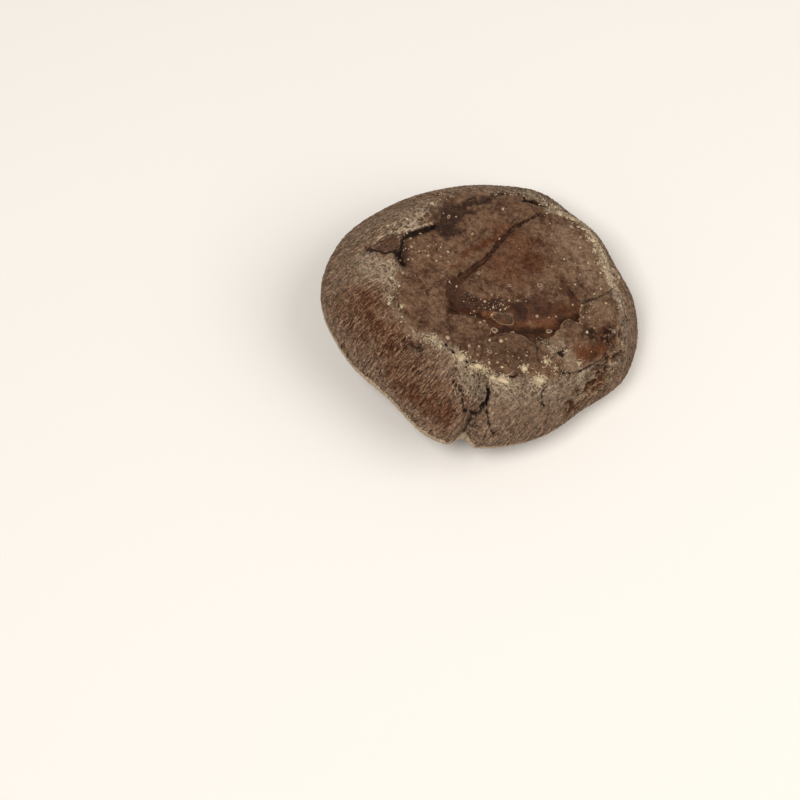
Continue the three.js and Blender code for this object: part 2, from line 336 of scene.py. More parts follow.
# Cracks: width at the two ends and depth in mm, 1 if wet, how dark it is painted (near-black paint for the
# shade inside the crevice), and its path in photo pixels
cracks = [
    (1.5, 1.3, 0.3, 1, 0.3, [(457.7, 277), (465.7, 275.2), (471.1, 269.8), (480, 263.6), (488, 256.4),
     (490.5, 254)]),
    (1.3, 0.55, 0.3, 1, 0.4, [(490.5, 254), (496.1, 246.6), (503.2, 238.6), (508.6, 233.2),
     (513.9, 227), (519.3, 224.3), (529.6, 219.4), (536.5, 214.8), (542, 214.8)]),
    (1.2, 1.4, 0.8, 0, 0.92, [(438, 225), (424.6, 229.6), (415.7, 232.3), (405, 235.9), (401.4, 242.1),
     (399.6, 247.5), (397.9, 254.6), (400.5, 260.9), (405, 265.4)]),
    (0.5, 0.7, 0.2, 0, 0.45, [(365.4, 248.1), (372, 243.5), (380, 241.3), (387, 235.9), (397, 232.8)]),
    (1.3, 0.8, 0.55, 0, 0.85, [(365.4, 248.1), (373, 250.5), (384, 251), (398.7, 252.7)]),
    (1, 1.4, 0.7, 0, 1, [(519, 199.5), (526.4, 200.2), (532, 201.5), (538, 203.5), (546.5, 206.5)]),
    (1.4, 0.7, 0.4, 0, 0.75, [(499, 194), (508, 192.8), (517, 193.8), (522, 197)]),
    (0.7, 0.7, 0.5, 0, 1, [(522, 197), (525, 198)]),
    (0.5, 0.3, 0.2, 0, 0.5, [(545.5, 206.5), (552, 217), (556, 222.5)]),
    (0.8, 0.5, 0.35, 0, 0.85, [(556.7, 207.3), (563, 209.7), (567.8, 213)]),
    (0.5, 0.6, 0.4, 0, 0.9, [(519, 192.5), (524, 194.5), (531, 197)]),
    (0.5, 0.4, 0.3, 0, 0.7, [(570, 217), (576, 220), (582, 226)]),
    (0.5, 0.4, 0.3, 0, 0.7, [(588, 228), (594, 234), (599, 243)]),
    (0.5, 0.5, 0.3, 0, 0.8, [(604, 254), (609, 264), (614, 277)]),
    (0.4, 0.5, 0.3, 0, 0.6, [(616, 288), (622, 300), (626, 316), (621, 326)]),
    (0.5, 0.5, 0.35, 0, 0.7, [(608, 345), (604, 356), (594.3, 363.8)]),
    (0.6, 0.4, 0.35, 0, 0.7, [(587, 385), (594, 378), (600, 369)]),
    (0.45, 0.6, 0.3, 0, 0.5, [(575, 276.7), (579, 283.1), (583.8, 287.9), (586.6, 291.1),
     (585.4, 296.6)]),
    (0.7, 0.4, 0.45, 0, 0.8, [(580.6, 302.2), (589.4, 299.8), (596.6, 297.4), (609.3, 291.9)]),
    (0.7, 0.4, 0.4, 0, 0.6, [(609.3, 290.3), (611.7, 293.4), (614.9, 299.8), (617.3, 304.6),
     (617.8, 314)]),
    (0.6, 0.3, 0.3, 0, 0.5, [(579.6, 322.5), (587, 330.5)]),
    (0.9, 0.9, 0.5, 0, 0.9, [(561.2, 370.8), (565.6, 373.4), (572.7, 374), (580.3, 371.5), (588, 367),
     (594.3, 363.8)]),
    (0.8, 0.35, 0.35, 0, 0.6, [(534.4, 338.9), (536.9, 346.6), (537.6, 356.8), (539.5, 363.2)]),
    (0.9, 0.5, 0.4, 0, 1, [(507.5, 377.4), (514, 376.4), (521.6, 373.2)]),
    (0.7, 0.5, 0.35, 0, 0.9, [(545.9, 382.3), (544.6, 388.7), (542, 393.8), (541.8, 402.7),
     (544.6, 407.2)]),
    (0.6, 0.5, 0.35, 0, 1, [(444, 344), (449, 348), (455, 353.2)]),
    (1, 0.8, 0.6, 0, 1, [(465.5, 362.5), (471, 363.4), (477.5, 363.8)]),
    (0.4, 0.4, 0.2, 0, 0.6, [(483, 347), (481.2, 354), (478.5, 361.5)]),
    (0.5, 0.3, 0.3, 0, 0.8, [(459.5, 350.5), (461, 346), (462, 343.5)]),
    (0.6, 0.5, 0.4, 0, 0.9, [(478.3, 372.1), (482, 374.4), (485.9, 375.9)]),
    (0.75, 0.6, 0.5, 0, 0.85, [(452.1, 380.4), (454.5, 384.5), (459.1, 388.7), (463, 392.5),
     (462.3, 401.4), (465.5, 410.4), (471.9, 414.8), (479.5, 412.9), (484.6, 406.5)]),
    (0.8, 1, 1.1, 0, 1, [(488, 386), (488.9, 391), (487.8, 399), (486, 406.5)]),
    (0.7, 0.9, 0.8, 0, 1, [(484.4, 402.5), (482.5, 406), (479.3, 409.5)]),
    (0.4, 0.5, 0.4, 0, 0.7, [(483, 377), (486, 381), (488, 386)]),
    (0.8, 0.5, 0.4, 0, 0.85, [(487.2, 407.8), (486.6, 416.7), (489.1, 424.4), (491, 430.8),
     (494.8, 438.4)]),
    (0.9, 0.5, 0.7, 0, 0.5, [(462.3, 437), (464.5, 430), (469, 422), (471.5, 416)]),
    (1.4, 1.2, 0.6, 0, 0.95, [(559, 355.5), (563, 351.5), (567, 347.5)]),
    (0.4, 0.3, 0.2, 0, 0.6, [(494.3, 207), (500, 205.8), (506.8, 206.4)]),
    (0.5, 0.5, 0.4, 0, 0.9, [(464.8, 199.5), (470, 198.6), (476, 196.5)]),
    (0.3, 0.4, 0.15, 0, 0.5, [(440.7, 260), (448, 257.5), (455.9, 254.6)]),
    (0.8, 0.3, 0.25, 0, 0.45, [(447.3, 312.5), (449, 321), (450.5, 331), (452.5, 339)]),
    (0.7, 1.6, 0.8, 0, 0.75, [(608.5, 378), (606, 385), (601, 391.5)]),
    (0.6, 0.9, 0.5, 0, 0.6, [(594, 377), (591.5, 381), (588.5, 385.5)]),
    (0.8, 1.3, 0.5, 0, 0.65, [(608, 356), (606.5, 364), (604.5, 373)]),
    (0.8, 0.8, 0.6, 0, 1, [(597, 364.5), (597.3, 367)]),
    (1, 1, 0.6, 0, 1, [(598.5, 371.3), (600.2, 372.6)]),
    (0.4, 0.4, 0.3, 0, 0.6, [(621, 326), (625, 323), (631, 319)]),
]

stainOutline = [
    (499.6, 192.1), (489.8, 193.9), (480.9, 196.6), (472.9, 198.4), (464.8, 199.3), (458.6, 203.8),
    (451.4, 204.2), (444.3, 207.3), (438.9, 211.8), (438, 217.1), (433.6, 220.7), (428.2, 227),
    (430, 229.6), (435.4, 230.5), (438.9, 235), (444.3, 240.4), (447.9, 241.3), (451.4, 237.7),
    (455.9, 235.9), (460.4, 232.3), (467.5, 231), (460.4, 227), (458.6, 223.4), (462.1, 218),
    (467.5, 213.6), (472.9, 212.7), (469.3, 209.1), (474.6, 205.1), (485.4, 204.2), (490.7, 201.1),
    (499.6, 193.9),
]
wedgeOutline = [
    (365.4, 248.1), (380, 241.3), (397, 232.8), (400, 240), (398.7, 252.7), (384, 251), (373, 250.5),
]
blister = [
    (490.8, 314.2), (493.5, 318.5), (500, 322.3), (507.5, 324.8), (513, 324), (515, 319.5), (513.5, 315),
    (508, 312.8), (500, 312), (494, 311.9),
]

# Soft patches of colour: pixel chain, half width in mm and strength
patches = {
    "rust": [
        ([(368, 300), (374, 316), (384, 332), (392, 344)], 4.6, 0.9),
        ([(346, 318), (354, 326), (368, 340)], 2.6, 0.55),
        ([(410, 392), (424, 402), (446, 410)], 4.2, 0.95), ([(392, 366), (402, 384)], 3.8, 0.8),
        ([(354, 306), (374, 326), (394, 350), (406, 372), (426, 392), (446, 410)], 7.5, 0.6),
        ([(382, 252), (384, 244), (391, 240)], 2.2, 0.3),
        ([(462, 256.4), (469.3, 251.1), (480.9, 245.7), (491.6, 240.4)], 1.1, 0.8),
        ([(454, 266.3), (458, 266)], 0.9, 0.7),
        ([(506, 240), (522, 246), (530, 262), (512, 274), (500, 262)], 6.0, 0.55),
        ([(565, 414), (570, 406)], 1.9, 0.8), ([(589, 392), (598, 382), (606, 374)], 3.0, 0.95),
        ([(582, 352), (594, 350), (606, 349)], 2.8, 0.85),
        ([(600, 336), (608, 348), (604, 360)], 2.6, 0.7), ([(612, 340), (622, 350)], 2.6, 0.5),
        ([(599, 369), (607, 376)], 2.2, 0.95),
    ],
    # dark skin; the same mask also takes painted shade in the valleys of the wrinkled folds
    "bruise": [
        ([(411, 343), (421, 350)], 2.2, 0.8), ([(401, 254), (406, 262)], 2.2, 0.85),
        ([(405, 239), (413, 235), (424, 232)], 1.5, 0.8),
        ([(593, 337), (600, 337), (608, 336)], 3.4, 1.0), ([(595, 337.5), (607, 336)], 1.6, 1.0),
        ([(492, 350), (508, 354), (522, 352)], 5.5, 0.4), ([(462, 335), (474, 345)], 4.5, 0.22),
        ([(468, 372), (476, 382), (480, 392)], 3.2, 0.3), ([(590.5, 358), (594.5, 353.5)], 1.4, 1.0),
        ([(597, 366), (599, 372), (604, 377)], 1.4, 0.55), ([(537, 337), (548, 343)], 1.4, 0.85),
        ([(617.5, 353), (620, 358)], 1.7, 0.7), ([(604, 370), (608, 377), (600, 389)], 1.3, 0.6),
        ([(447, 205), (440, 213)], 3.0, 0.45), ([(453, 284), (456, 298), (460, 308)], 2.4, 0.7),
    ],
    "worn": [
        ([(568, 236), (584, 262), (596, 282)], 5.5, 0.8), ([(596, 300), (606, 312)], 4, 0.5),
        ([(612, 284), (619, 300), (621, 318)], 1.8, 0.9),
        ([(570, 386), (590, 374), (608, 364), (622, 350)], 6, 1.0),
        ([(500, 400), (530, 412), (556, 400), (586, 384)], 7, 0.95),
        ([(556, 340), (566, 352), (574, 364)], 4.2, 0.85), ([(350, 262), (344, 290), (352, 306)], 5, 0.6),
        ([(362, 232), (392, 214), (430, 200)], 4, 0.6), ([(500, 252), (520, 276), (545, 284)], 4, 0.3),
    ],
    "web": [
        ([(462, 366), (470, 380), (478, 390)], 3.8, 0.75),
        ([(497, 386), (525, 390), (552, 388)], 3.0, 0.5),
        ([(366, 258), (376, 268), (388, 276)], 3.6, 0.6), ([(560, 384), (580, 380)], 2.6, 0.5),
        ([(556, 346), (562, 352)], 2.4, 0.3), ([(395, 230), (412, 221), (424, 212)], 2.2, 0.65),
    ],
    # these patches are a painted highlight: a warm light colour for the sheen on wet flesh
    "paintedHighlight": [
        ([(517, 325.5), (530, 323.5)], 1.3, 0.35), ([(534, 323.5), (545, 321.5), (554, 318)], 1.9, 0.6),
        ([(485.5, 313), (489, 315.5), (493, 313.5)], 1.2, 0.6),
        ([(582, 348), (592, 352), (600, 354)], 2.8, 0.5), ([(600, 345), (605, 352)], 1.6, 0.3),
        ([(588, 360), (594, 362), (600, 361)], 2.0, 0.55), ([(562, 311), (574, 305)], 2.2, 0.25),
    ],
    "pale": [
        ([(366, 262), (376, 270), (388, 270)], 3.6, 0.25),
        ([(392, 254), (394, 272), (388, 300)], 1.7, 0.5),
        ([(388, 300), (400, 318), (420, 336)], 1.5, 0.45),
        ([(420, 336), (445, 348), (461, 359)], 1.9, 0.85),
        ([(461, 359), (482, 369), (497, 379), (520, 379), (540, 381)], 1.5, 0.4),
        ([(500, 392), (530, 396), (556, 388), (585, 378)], 4.2, 0.35),
        ([(352, 238), (376, 226), (404, 212), (430, 204)], 3.0, 0.3),
        ([(395, 232), (412, 222), (420, 216)], 1.8, 0.35),
        ([(500, 188), (522, 192), (548, 203), (562, 212), (582, 223), (597, 243), (608, 266)], 1.9, 1.0),
        ([(607, 266), (613, 285), (622, 306), (624, 330)], 2.0, 1.0),
        ([(545, 206), (552, 211), (560, 213)], 1.4, 0.9),
        ([(574, 381), (590, 372), (604, 365)], 3.4, 0.6), ([(612, 366), (610, 378)], 2.4, 0.5),
        ([(616, 342), (627, 336)], 4.0, 0.45), ([(558, 349), (567, 357), (574, 366)], 2.6, 0.2),
        ([(558, 400), (570, 398), (582, 390)], 3.4, 0.4),
        ([(614, 346), (620, 352), (616, 362)], 2.6, 0.5),
    ],
    "edge": [([(530, 323), (534, 325)], 0.9, 0.4)],
}

# Raised torn seams: pixel chain, half width and height in mm
seams = [
    ([(584, 230), (590, 235), (597, 242), (603, 256), (611, 267), (618.6, 277.6)], 0.42, 0.3),
    ([(552, 206), (562, 211), (574, 218), (584, 226)], 0.4, 0.25),
    ([(398.5, 232), (400, 240), (397.5, 250)], 0.32, 0.2),
    ([(372, 243), (380, 237.5), (392, 232)], 0.32, 0.2),
    ([(404, 231), (416, 228.5), (428, 225)], 0.32, 0.2),
    ([(590, 396), (600, 388), (611, 380)], 0.35, 0.35),
]
# Swells: pixel, reach and height in mm
swells = [(472.5, 401.5, 3.2, 0.7), (500, 412, 6, 0.35), (602, 384, 3, 0.4)]

# Wrinkled folds: pixel chain and half width in mm
wrinkled = [
    ([(574, 402), (588, 390), (600, 378), (612, 362)], 5.8),
    ([(612, 335), (622, 348), (618, 360)], 3.6),
]

skin = {
    "wobble": 0.32, "wobbleSize": 1.7,     # how ragged the marks' edges are
    "blotchSize": 3.2, "speckleSize": 0.9,
    "plateLift": 0.34, "plateEdge": 0.45,
    "plateFree": (1.2, 4.5), "sharpReach": (0.8, 3.2),     # reach from the crescent's sharp edge
    # pairs are for the crescent's soft side and its sharp side
    "crescentDrop": 0.42, "crescentSlope": (2.4, 0.35), "wetSoft": (0.5, 0.14),
    "crackRag": 0.35, "crackTip": 0.35, "crackSoft": 0.16,
    "crackBank": 0.12, "bankReach": 1.2,   # the raised side of a crack: share of its depth, and reach
    "patchRag": 0.42, "patchGrain": 0.22,
    "stainDrop": 0.25, "wedgeDrop": 0.3, "ringRise": 0.26, "blisterRise": 0.1, "paleGrain": 0.07,
    "pebble": 0.1, "pebbleSize": 1.2,      # low leathery swells on the flat top
    "strand": 0.15, "strandSpacing": 0.75, "strandLength": 2.6,
    # the flank's strands turn from straight out, both sides of this angle
    "slant": 48, "slantZero": 225,
    "wrinkle": 1.15, "wrinkleSize": 2.2,
}
farOff = -9.0                  # depth inside a mark, in mm, for places that no mark reaches


def sheetToDisc(x, y):         # a square sheet pressed into a disc, with its squares in rings
    wide = np.abs(x) >= np.abs(y)
    ring = np.maximum(np.abs(x), np.abs(y))
    safe = np.where(ring == 0, 1, np.where(wide, x, y))
    turn = np.pi / 4 * np.where(wide, y, x) / safe
    angle = np.where(wide, turn + np.pi * (x < 0), np.pi / 2 - turn + np.pi * (y < 0))
    return ring, angle


def meanArc():                 # the average section's length, against its place
    angle = np.linspace(0, 2 * np.pi, 97)[:-1]
    places = np.linspace(0, cap["bellyPlace"], 141)
    sections = capSection(angle)
    line = np.array([alongSpline(sections, np.full(angle.shape, p))[0].mean(axis=0) for p in places])
    steps = np.linalg.norm(np.diff(line, axis=0), axis=1)
    return places, np.concatenate([[0], np.cumsum(steps)])


arcPlaces, arcLengths = meanArc()
skinReach = arcLengths[-1]


def makeCapMesh():             # a flat sheet, its border drawn down into rings and gathered
    deselectAll()
    bpy.ops.mesh.primitive_grid_add(x_subdivisions=cap["grid"], y_subdivisions=cap["grid"], size=2,
                                    location=(0, 0, 0))
    piece = bpy.context.object
    piece.name = piece.data.name = "capSkin"
    bpy.ops.object.mode_set(mode="EDIT")
    bpy.ops.mesh.select_mode(type="EDGE")
    bpy.ops.mesh.select_all(action="DESELECT")
    bpy.ops.mesh.select_non_manifold()
    for _ in range(len(cap["lipPlaces"]) + len(cap["underside"]) + 1):
        bpy.ops.mesh.extrude_edges_move(TRANSFORM_OT_translate={"value": (0, 0, -1)})
    bpy.ops.mesh.merge(type="CENTER")
    faceOutwards()
    return piece


def shapeSmoothCap(raw):       # every vertex of the sheet, on the smooth cap with its broad marks
    ring, angle = sheetToDisc(raw[:, 0], raw[:, 1])
    around = ways(angle)
    layer = np.round(-raw[:, 2]).astype(int)
    lipCount = len(cap["lipPlaces"])
    lipPlace = np.array([cap["bellyPlace"], *cap["lipPlaces"]])
    place = np.interp(ring * skinReach, arcLengths, arcPlaces)
    place = np.where(layer > 0, lipPlace[np.minimum(layer, lipCount)], place)
    spot, slope = alongSpline(capSection(angle), place)
    slope = slope / np.maximum(np.linalg.norm(slope, axis=1), 1e-9)[:, None]
    plan = spot[:, :1] * around
    x, y = plan.T
    # slow unevenness of the whole cap, then its broad marks
    lift = 0.35 * np.sin(x / 7 + 0.6) * np.cos(y / 6.3) + 0.2 * np.sin((x - y) / 3.7)
    for height, halfWidth, chain in broadMarks:
        lift += height * smooth(1 - chainDistance(plan, np.array(chain, float))[0] / halfWidth, 0, 1)
    lift *= smooth(spot[:, 1], 1, 9)
    radius = spot[:, 0] - slope[:, 1] * lift
    height = spot[:, 1] + slope[:, 0] * lift
    inner = radiusAt(cap["rim"], angle) - cap["lipDepth"]
    for k, (share, level) in enumerate(cap["underside"]):
        under = layer == lipCount + 1 + k
        radius = np.where(under, share * inner if k else inner - cap["lipGap"], radius)
        height = np.where(under, level, height)
    pole = layer > lipCount + len(cap["underside"])
    radius = np.where(pole, 0, radius)
    height = np.where(pole, cap["flesh"], height)
    return {
        "points": np.column_stack([radius[:, None] * around, height]),
        "spread": (ring * skinReach)[:, None] * around,
        "outward": np.column_stack([-slope[:, 1:] * around, slope[:, 0]]),
        "angle": angle, "place": place, "top": layer == 0, "layer": layer,
    }


capMesh = makeCapMesh()
body = shapeSmoothCap(vertsOf(capMesh))
print("cap sheet drawn to its shape:", len(body["points"]), "points")

# The pixels of the skin that the camera sees, to carry the photo's marks over
rowPoints = toRow(body["points"])
facing = np.einsum("ij,ij->i", body["outward"] @ lean.T, eye - rowPoints) > 0
seen = np.flatnonzero(facing & body["top"])
seenPixels = toPixels(rowPoints[seen])


def onSkin(pixels):            # photo pixels to places on the spread-out skin, in mm
    places = []
    for pixel in np.atleast_2d(np.asarray(pixels, float)):
        gap = np.linalg.norm(seenPixels - pixel, axis=1)
        near = np.argpartition(gap, 4)[:4]
        weight = 1 / (gap[near] + 0.05)
        places.append((body["spread"][seen[near]] * weight[:, None]).sum(axis=0) / weight.sum())
    return np.array(places)


def strandTurn(angle):         # how far a strand turns from straight out, in radians
    return np.radians(skin["slant"]) * np.sin(np.radians(skin["slantZero"]) - angle)


# The fine relief and the masks that colour the skin
def dressSkin():
    spread, top = body["spread"], body["top"]
    points3 = np.column_stack([spread, np.zeros(len(spread))])
    wander = np.stack([grainAt(points3, skin["wobbleSize"], seed) for seed in (1, 2)], axis=1)
    at = spread + skin["wobble"] * wander
    blotch = grainAt(points3, skin["blotchSize"], 3, 4)
    speckle = grainAt(points3, skin["speckleSize"], 4, 3)
    painted = ("wet", "rust", "paintedHighlight", "pale", "worn", "bruise", "edge", "dark", "web", "seam")
    masks = {name: np.zeros(len(spread)) for name in painted}
    lift = np.zeros(len(spread))

    def atLeast(name, values):
        masks[name] = np.maximum(masks[name], values)

    def nearChain(path, halfWidth):
        return smooth(1 - chainDistance(at, onSkin(path))[0] / halfWidth, 0, 0.6)

    # flat top or flank
    flank = smooth(body["place"] + 0.18 * blotch, 2.75, 3.7)
    masks["flank"] = flank

    # sunken crescent, sharp along its lower side and soft along its upper side
    depth = insideDepth(at, onSkin(crescent))
    toEdge, _ = chainDistance(at, onSkin(crescentSharpEdge))
    sharp = 1 - smooth(toEdge, *skin["sharpReach"])
    wetDepth = depth + (1 - sharp) * (0.5 * blotch + 0.35 * speckle)
    wetSoft = mix(*skin["wetSoft"], sharp)
    lift -= skin["crescentDrop"] * smooth(depth, -0.1, mix(*skin["crescentSlope"], sharp))

    # lifted plates
    torn = smooth(0.9 * blotch + speckle, -0.5, 0.6)
    plateDepth = np.full(len(spread), farOff)
    free = 1 - smooth(toEdge, *skin["plateFree"])
    for outline in plates.values():
        inside = insideDepth(at, onSkin(outline))
        plateDepth = np.maximum(plateDepth, inside)
        curl = smooth(inside, -0.2, skin["plateEdge"]) * (1 - 0.75 * smooth(inside, 0.6, 3.5))
        lift += skin["plateLift"] * free * curl

    # cracks
    crackDepth = np.full(len(spread), farOff)
    for startWidth, endWidth, drop, isWet, dark, path in cracks:
        distance, share = chainDistance(at, onSkin(path))
        halfWidth = mix(startWidth, endWidth, share) / 2 * (1 + skin["crackRag"] * speckle)
        ends = smooth(np.minimum(share, 1 - share), -0.02, 0.06)
        halfWidth = halfWidth * mix(skin["crackTip"], 1, ends)
        inside = (1 - smooth(distance, 0.45 * halfWidth, 1.35 * halfWidth)) * ends
        lift -= drop * inside
        outer = smooth(distance, halfWidth, 1.5 * halfWidth)
        outer *= 1 - smooth(distance, 1.5 * halfWidth, skin["bankReach"] + halfWidth)
        lift += skin["crackBank"] * drop * outer
        within = np.where(share * (1 - share) > 0, halfWidth - distance, -distance)
        winner = within > crackDepth
        masks["dark"] = np.where(winner, dark, masks["dark"])
        crackDepth = np.maximum(crackDepth, within)
        if isWet:
            wetSoft = np.where(within > wetDepth, skin["crackSoft"], wetSoft)
            wetDepth = np.maximum(wetDepth, within)

    # blister: a flat-topped oval with a raised ring
    inside = insideDepth(at, onSkin(blister))
    ring = smooth(-np.abs(inside - 0.05), -0.3, -0.05)
    lift += skin["ringRise"] * ring + skin["blisterRise"] * smooth(inside, 0, 0.6)
    towardsRim = (at - onSkin(blister).mean(axis=0)) @ np.array([-0.4, -0.9])
    ring *= mix(0.5, 1, smooth(towardsRim, -1.2, 0.5))
    atLeast("edge", np.maximum(ring, 0.16 * smooth(inside, 0.2, 0.7)))
    masks["worn"] = 0.35 * smooth(inside, 0.1, 0.5)
    masks["wet"] = smooth(wetDepth, -wetSoft, wetSoft)

    # stains and the wedge by the left crack
    stainDepth = insideDepth(at, onSkin(stainOutline)) + 0.5 * blotch + 0.45 * speckle
    lift -= skin["stainDrop"] * smooth(stainDepth, -0.2, 1.5)
    wedge = insideDepth(at, onSkin(wedgeOutline))
    lift -= skin["wedgeDrop"] * smooth(wedge, -0.1, 0.5)
    masks["rust"] = 0.2 * smooth(wedge, -0.3, 0.4)
    masks["bruise"] = 0.4 * smooth(wedge, -0.3, 0.4)

    # soft patches
    for name, entries in patches.items():
        for path, halfWidth, strength in entries:
            distance, _ = chainDistance(at, onSkin(path))
            near = 1 - distance / halfWidth + skin["patchRag"] * blotch + skin["patchGrain"] * speckle
            atLeast(name, strength * smooth(near, -0.1, 0.9))

    # torn seams and swells
    for path, halfWidth, height in seams:
        near = nearChain(path, halfWidth) * smooth(torn, -0.1, 0.5)
        lift += height * near
        atLeast("seam", 0.9 * near)
    for x, y, reach, height in swells:
        lift += height * smooth(1 - np.linalg.norm(spread - onSkin([(x, y)])[0], axis=1) / reach, 0, 1)

    # wrinkled skin at the low side of the rim, with painted shade in its fold valleys
    turned = spread @ np.array([[0.87, 0.5], [-0.5, 0.87]])
    turned = np.column_stack([turned * [1, 0.5], np.zeros(len(spread))])
    folds = 1 - np.abs(grainAt(turned, skin["wrinkleSize"], 11, 3)) * 1.6
    for path, halfWidth in wrinkled:
        near = nearChain(path, halfWidth)
        lift += skin["wrinkle"] * near * (folds - 0.6)
        # painted shade: the dark bruise colour in the fold valleys
        atLeast("bruise", 0.5 * near * smooth(0.55 - folds, 0, 0.3))
        atLeast("rust", near * smooth(0.8 - folds, 0, 0.4))
        atLeast("worn", near * smooth(folds, 0.5, 0.7))
        atLeast("seam", 0.6 * near * smooth(folds, 0.78, 0.95))

    # strands of the flank, and leathery swells on the flat top
    reach = np.linalg.norm(spread, axis=1)
    spin = body["angle"] - np.tan(strandTurn(body["angle"])) * np.log(np.maximum(reach, 6) / 30)
    along = reach * skin["strandSpacing"] / skin["strandLength"]
    fibre = np.column_stack([36 * ways(spin), along])
    strands = grainAt(fibre, skin["strandSpacing"], 5, 2)
    pebbles = grainAt(points3, skin["pebbleSize"], 6, 3)
    dry = 1 - 0.6 * masks["wet"]
    lift += flank * skin["strand"] * strands + (1 - flank) * dry * skin["pebble"] * pebbles
    lift += skin["paleGrain"] * masks["pale"] * speckle
    masks["pale"] *= 1 - 0.9 * masks["wet"]
    lift = np.where(top, lift, flank * skin["strand"] * strands * (body["place"] < cap["lowPlace"]))
    under = body["layer"] > len(cap["lipPlaces"])
    for name in masks:
        masks[name] = np.where(under, 0, masks[name])
    masks["free"] = (1 - smooth(toEdge, 0.4, 1.5)) * mix(0.35, 1, torn)
    masks["plateDepth"] = plateDepth
    masks["wetDepth"], masks["wetSoft"] = np.where(under, farOff, wetDepth), wetSoft
    masks["crackDepth"] = np.where(under, farOff, crackDepth)
    masks["stainDepth"] = np.where(under, farOff, stainDepth)
    return np.where(under, 0, lift), masks, fibre


lift, masks, fibre = dressSkin()
shaped = toRow(body["points"] + body["outward"] * lift[:, None])
shaped[:, 2] = np.maximum(shaped[:, 2], 0)
placeVerts(capMesh, shaped)
for name, values in masks.items():
    setMask(capMesh, name, values)
setVectors(capMesh, "fibre", fibre)
rimLine = smooth(body["place"], 6.6, 7.15) * (1 - smooth(body["place"], 8.6, 9.6))
setMask(capMesh, "rimLine", rimLine * (body["layer"] <= len(cap["lipPlaces"])))
setMask(capMesh, "under", smooth(body["place"], 8.2, 10))
print("skin marked and raised")


# Material helpers
def tint(red, green, blue):    # a colour as seen on screen, 0 to 255, made linear
    return tuple(((c / 255 + 0.055) / 1.055) ** 2.4 for c in (red, green, blue)) + (1,)


def fill(tree, socket, value):
    if hasattr(value, "is_output"):
        tree.links.new(value, socket)
    else:
        socket.default_value = value


def blend(tree, factor, first, second, mode="MIX"):
    node = tree.nodes.new("ShaderNodeMix")
    node.data_type = "RGBA"
    node.blend_type = mode
    for socket, value in zip((node.inputs[0], node.inputs[6], node.inputs[7]), (factor, first, second)):
        fill(tree, socket, value)
    return node.outputs[2]


def plain(tree, operation, first, second=0.0, clamp=False):    # a sum that may leave 0 to 1
    node = tree.nodes.new("ShaderNodeMath")
    node.operation = operation
    node.use_clamp = clamp
    fill(tree, node.inputs[0], first)
    fill(tree, node.inputs[1], second)
    return node.outputs[0]


def maths(tree, operation, first, second):     # a sum kept within 0 to 1
    return plain(tree, operation, first, second, True)


def times(tree, first, second):
    return maths(tree, "MULTIPLY", first, second)


def remap(tree, value, low, high, outLow=0.0, outHigh=1.0, curve="SMOOTHSTEP"):
    node = tree.nodes.new("ShaderNodeMapRange")
    node.interpolation_type = curve
    for name, number in (("Value", value), ("From Min", low), ("From Max", high),
                         ("To Min", outLow), ("To Max", outHigh)):
        fill(tree, node.inputs[name], number)
    return node.outputs[0]


def attribute(tree, name, output="Fac"):
    node = tree.nodes.new("ShaderNodeAttribute")
    node.attribute_name = name
    return node.outputs[output]


def noiseOf(tree, vector, scale, detail=3.0, roughness=0.55, distortion=0.0):
    node = tree.nodes.new("ShaderNodeTexNoise")
    for name, value in (("Vector", vector), ("Scale", scale), ("Detail", detail),
                        ("Roughness", roughness), ("Distortion", distortion)):
        fill(tree, node.inputs[name], value)
    return node.outputs["Fac"]


def objectSpot(tree):
    return tree.nodes.new("ShaderNodeTexCoord").outputs["Object"]


# Clouds of noise: scale, detail and roughness, the noise's low and high end and what those become
clouds = {
    "stain": (480, 4, 0.65, 0.36, 0.56, 0.78, 1), "bruise": (760, 3, 0.6, 0.4, 0.54, 0.25, 1),
    "mottle": (190, 5, 0.65, 0.36, 0.6, 0, 1), "freckle": (800, 3, 0.7, 0.42, 0.62, 0, 1),
    "pits": (1250, 2, 0.5, 0.58, 0.67, 0, 0.6), "broken": (1100, 3, 0.7, 0.45, 0.56, 0, 1),
    "greyed": (260, 2, 0.55, 0.4, 0.6, 0, 1), "wet": (420, 3, 0.55, 0.4, 0.62, 0, 1),
    "crackShade": (900, 3, 0.55, 0.45, 0.62, 0, 1), "gillWarmth": (90, 3, 0.55, 0.4, 0.65, 0, 1),
    "gillSpots": (320, 3, 0.55, 0.6, 0.75, 0, 0.6), "stemSpots": (110, 3, 0.55, 0.5, 0.7, 0, 0.55),
    "pores": (1500, 3, 0.55, 0.36, 0.62, 0, 1),
}


def cloud(tree, spot, name):
    scale, detail, roughness, *ends = clouds[name]
    return remap(tree, noiseOf(tree, spot, scale, detail, roughness), *ends)


def bumpOf(tree, height, distance, strength=1.0):
    node = tree.nodes.new("ShaderNodeBump")
    node.inputs["Strength"].default_value = strength
    node.inputs["Distance"].default_value = distance
    tree.links.new(height, node.inputs["Height"])
    return node.outputs["Normal"]


def newMaterial(name, roughness, specular=0.3):
    material = bpy.data.materials.new(name)
    material.use_nodes = True
    shader = material.node_tree.nodes["Principled BSDF"]
    shader.inputs["Roughness"].default_value = roughness
    shader.inputs["Specular IOR Level"].default_value = specular
    return material, material.node_tree, shader


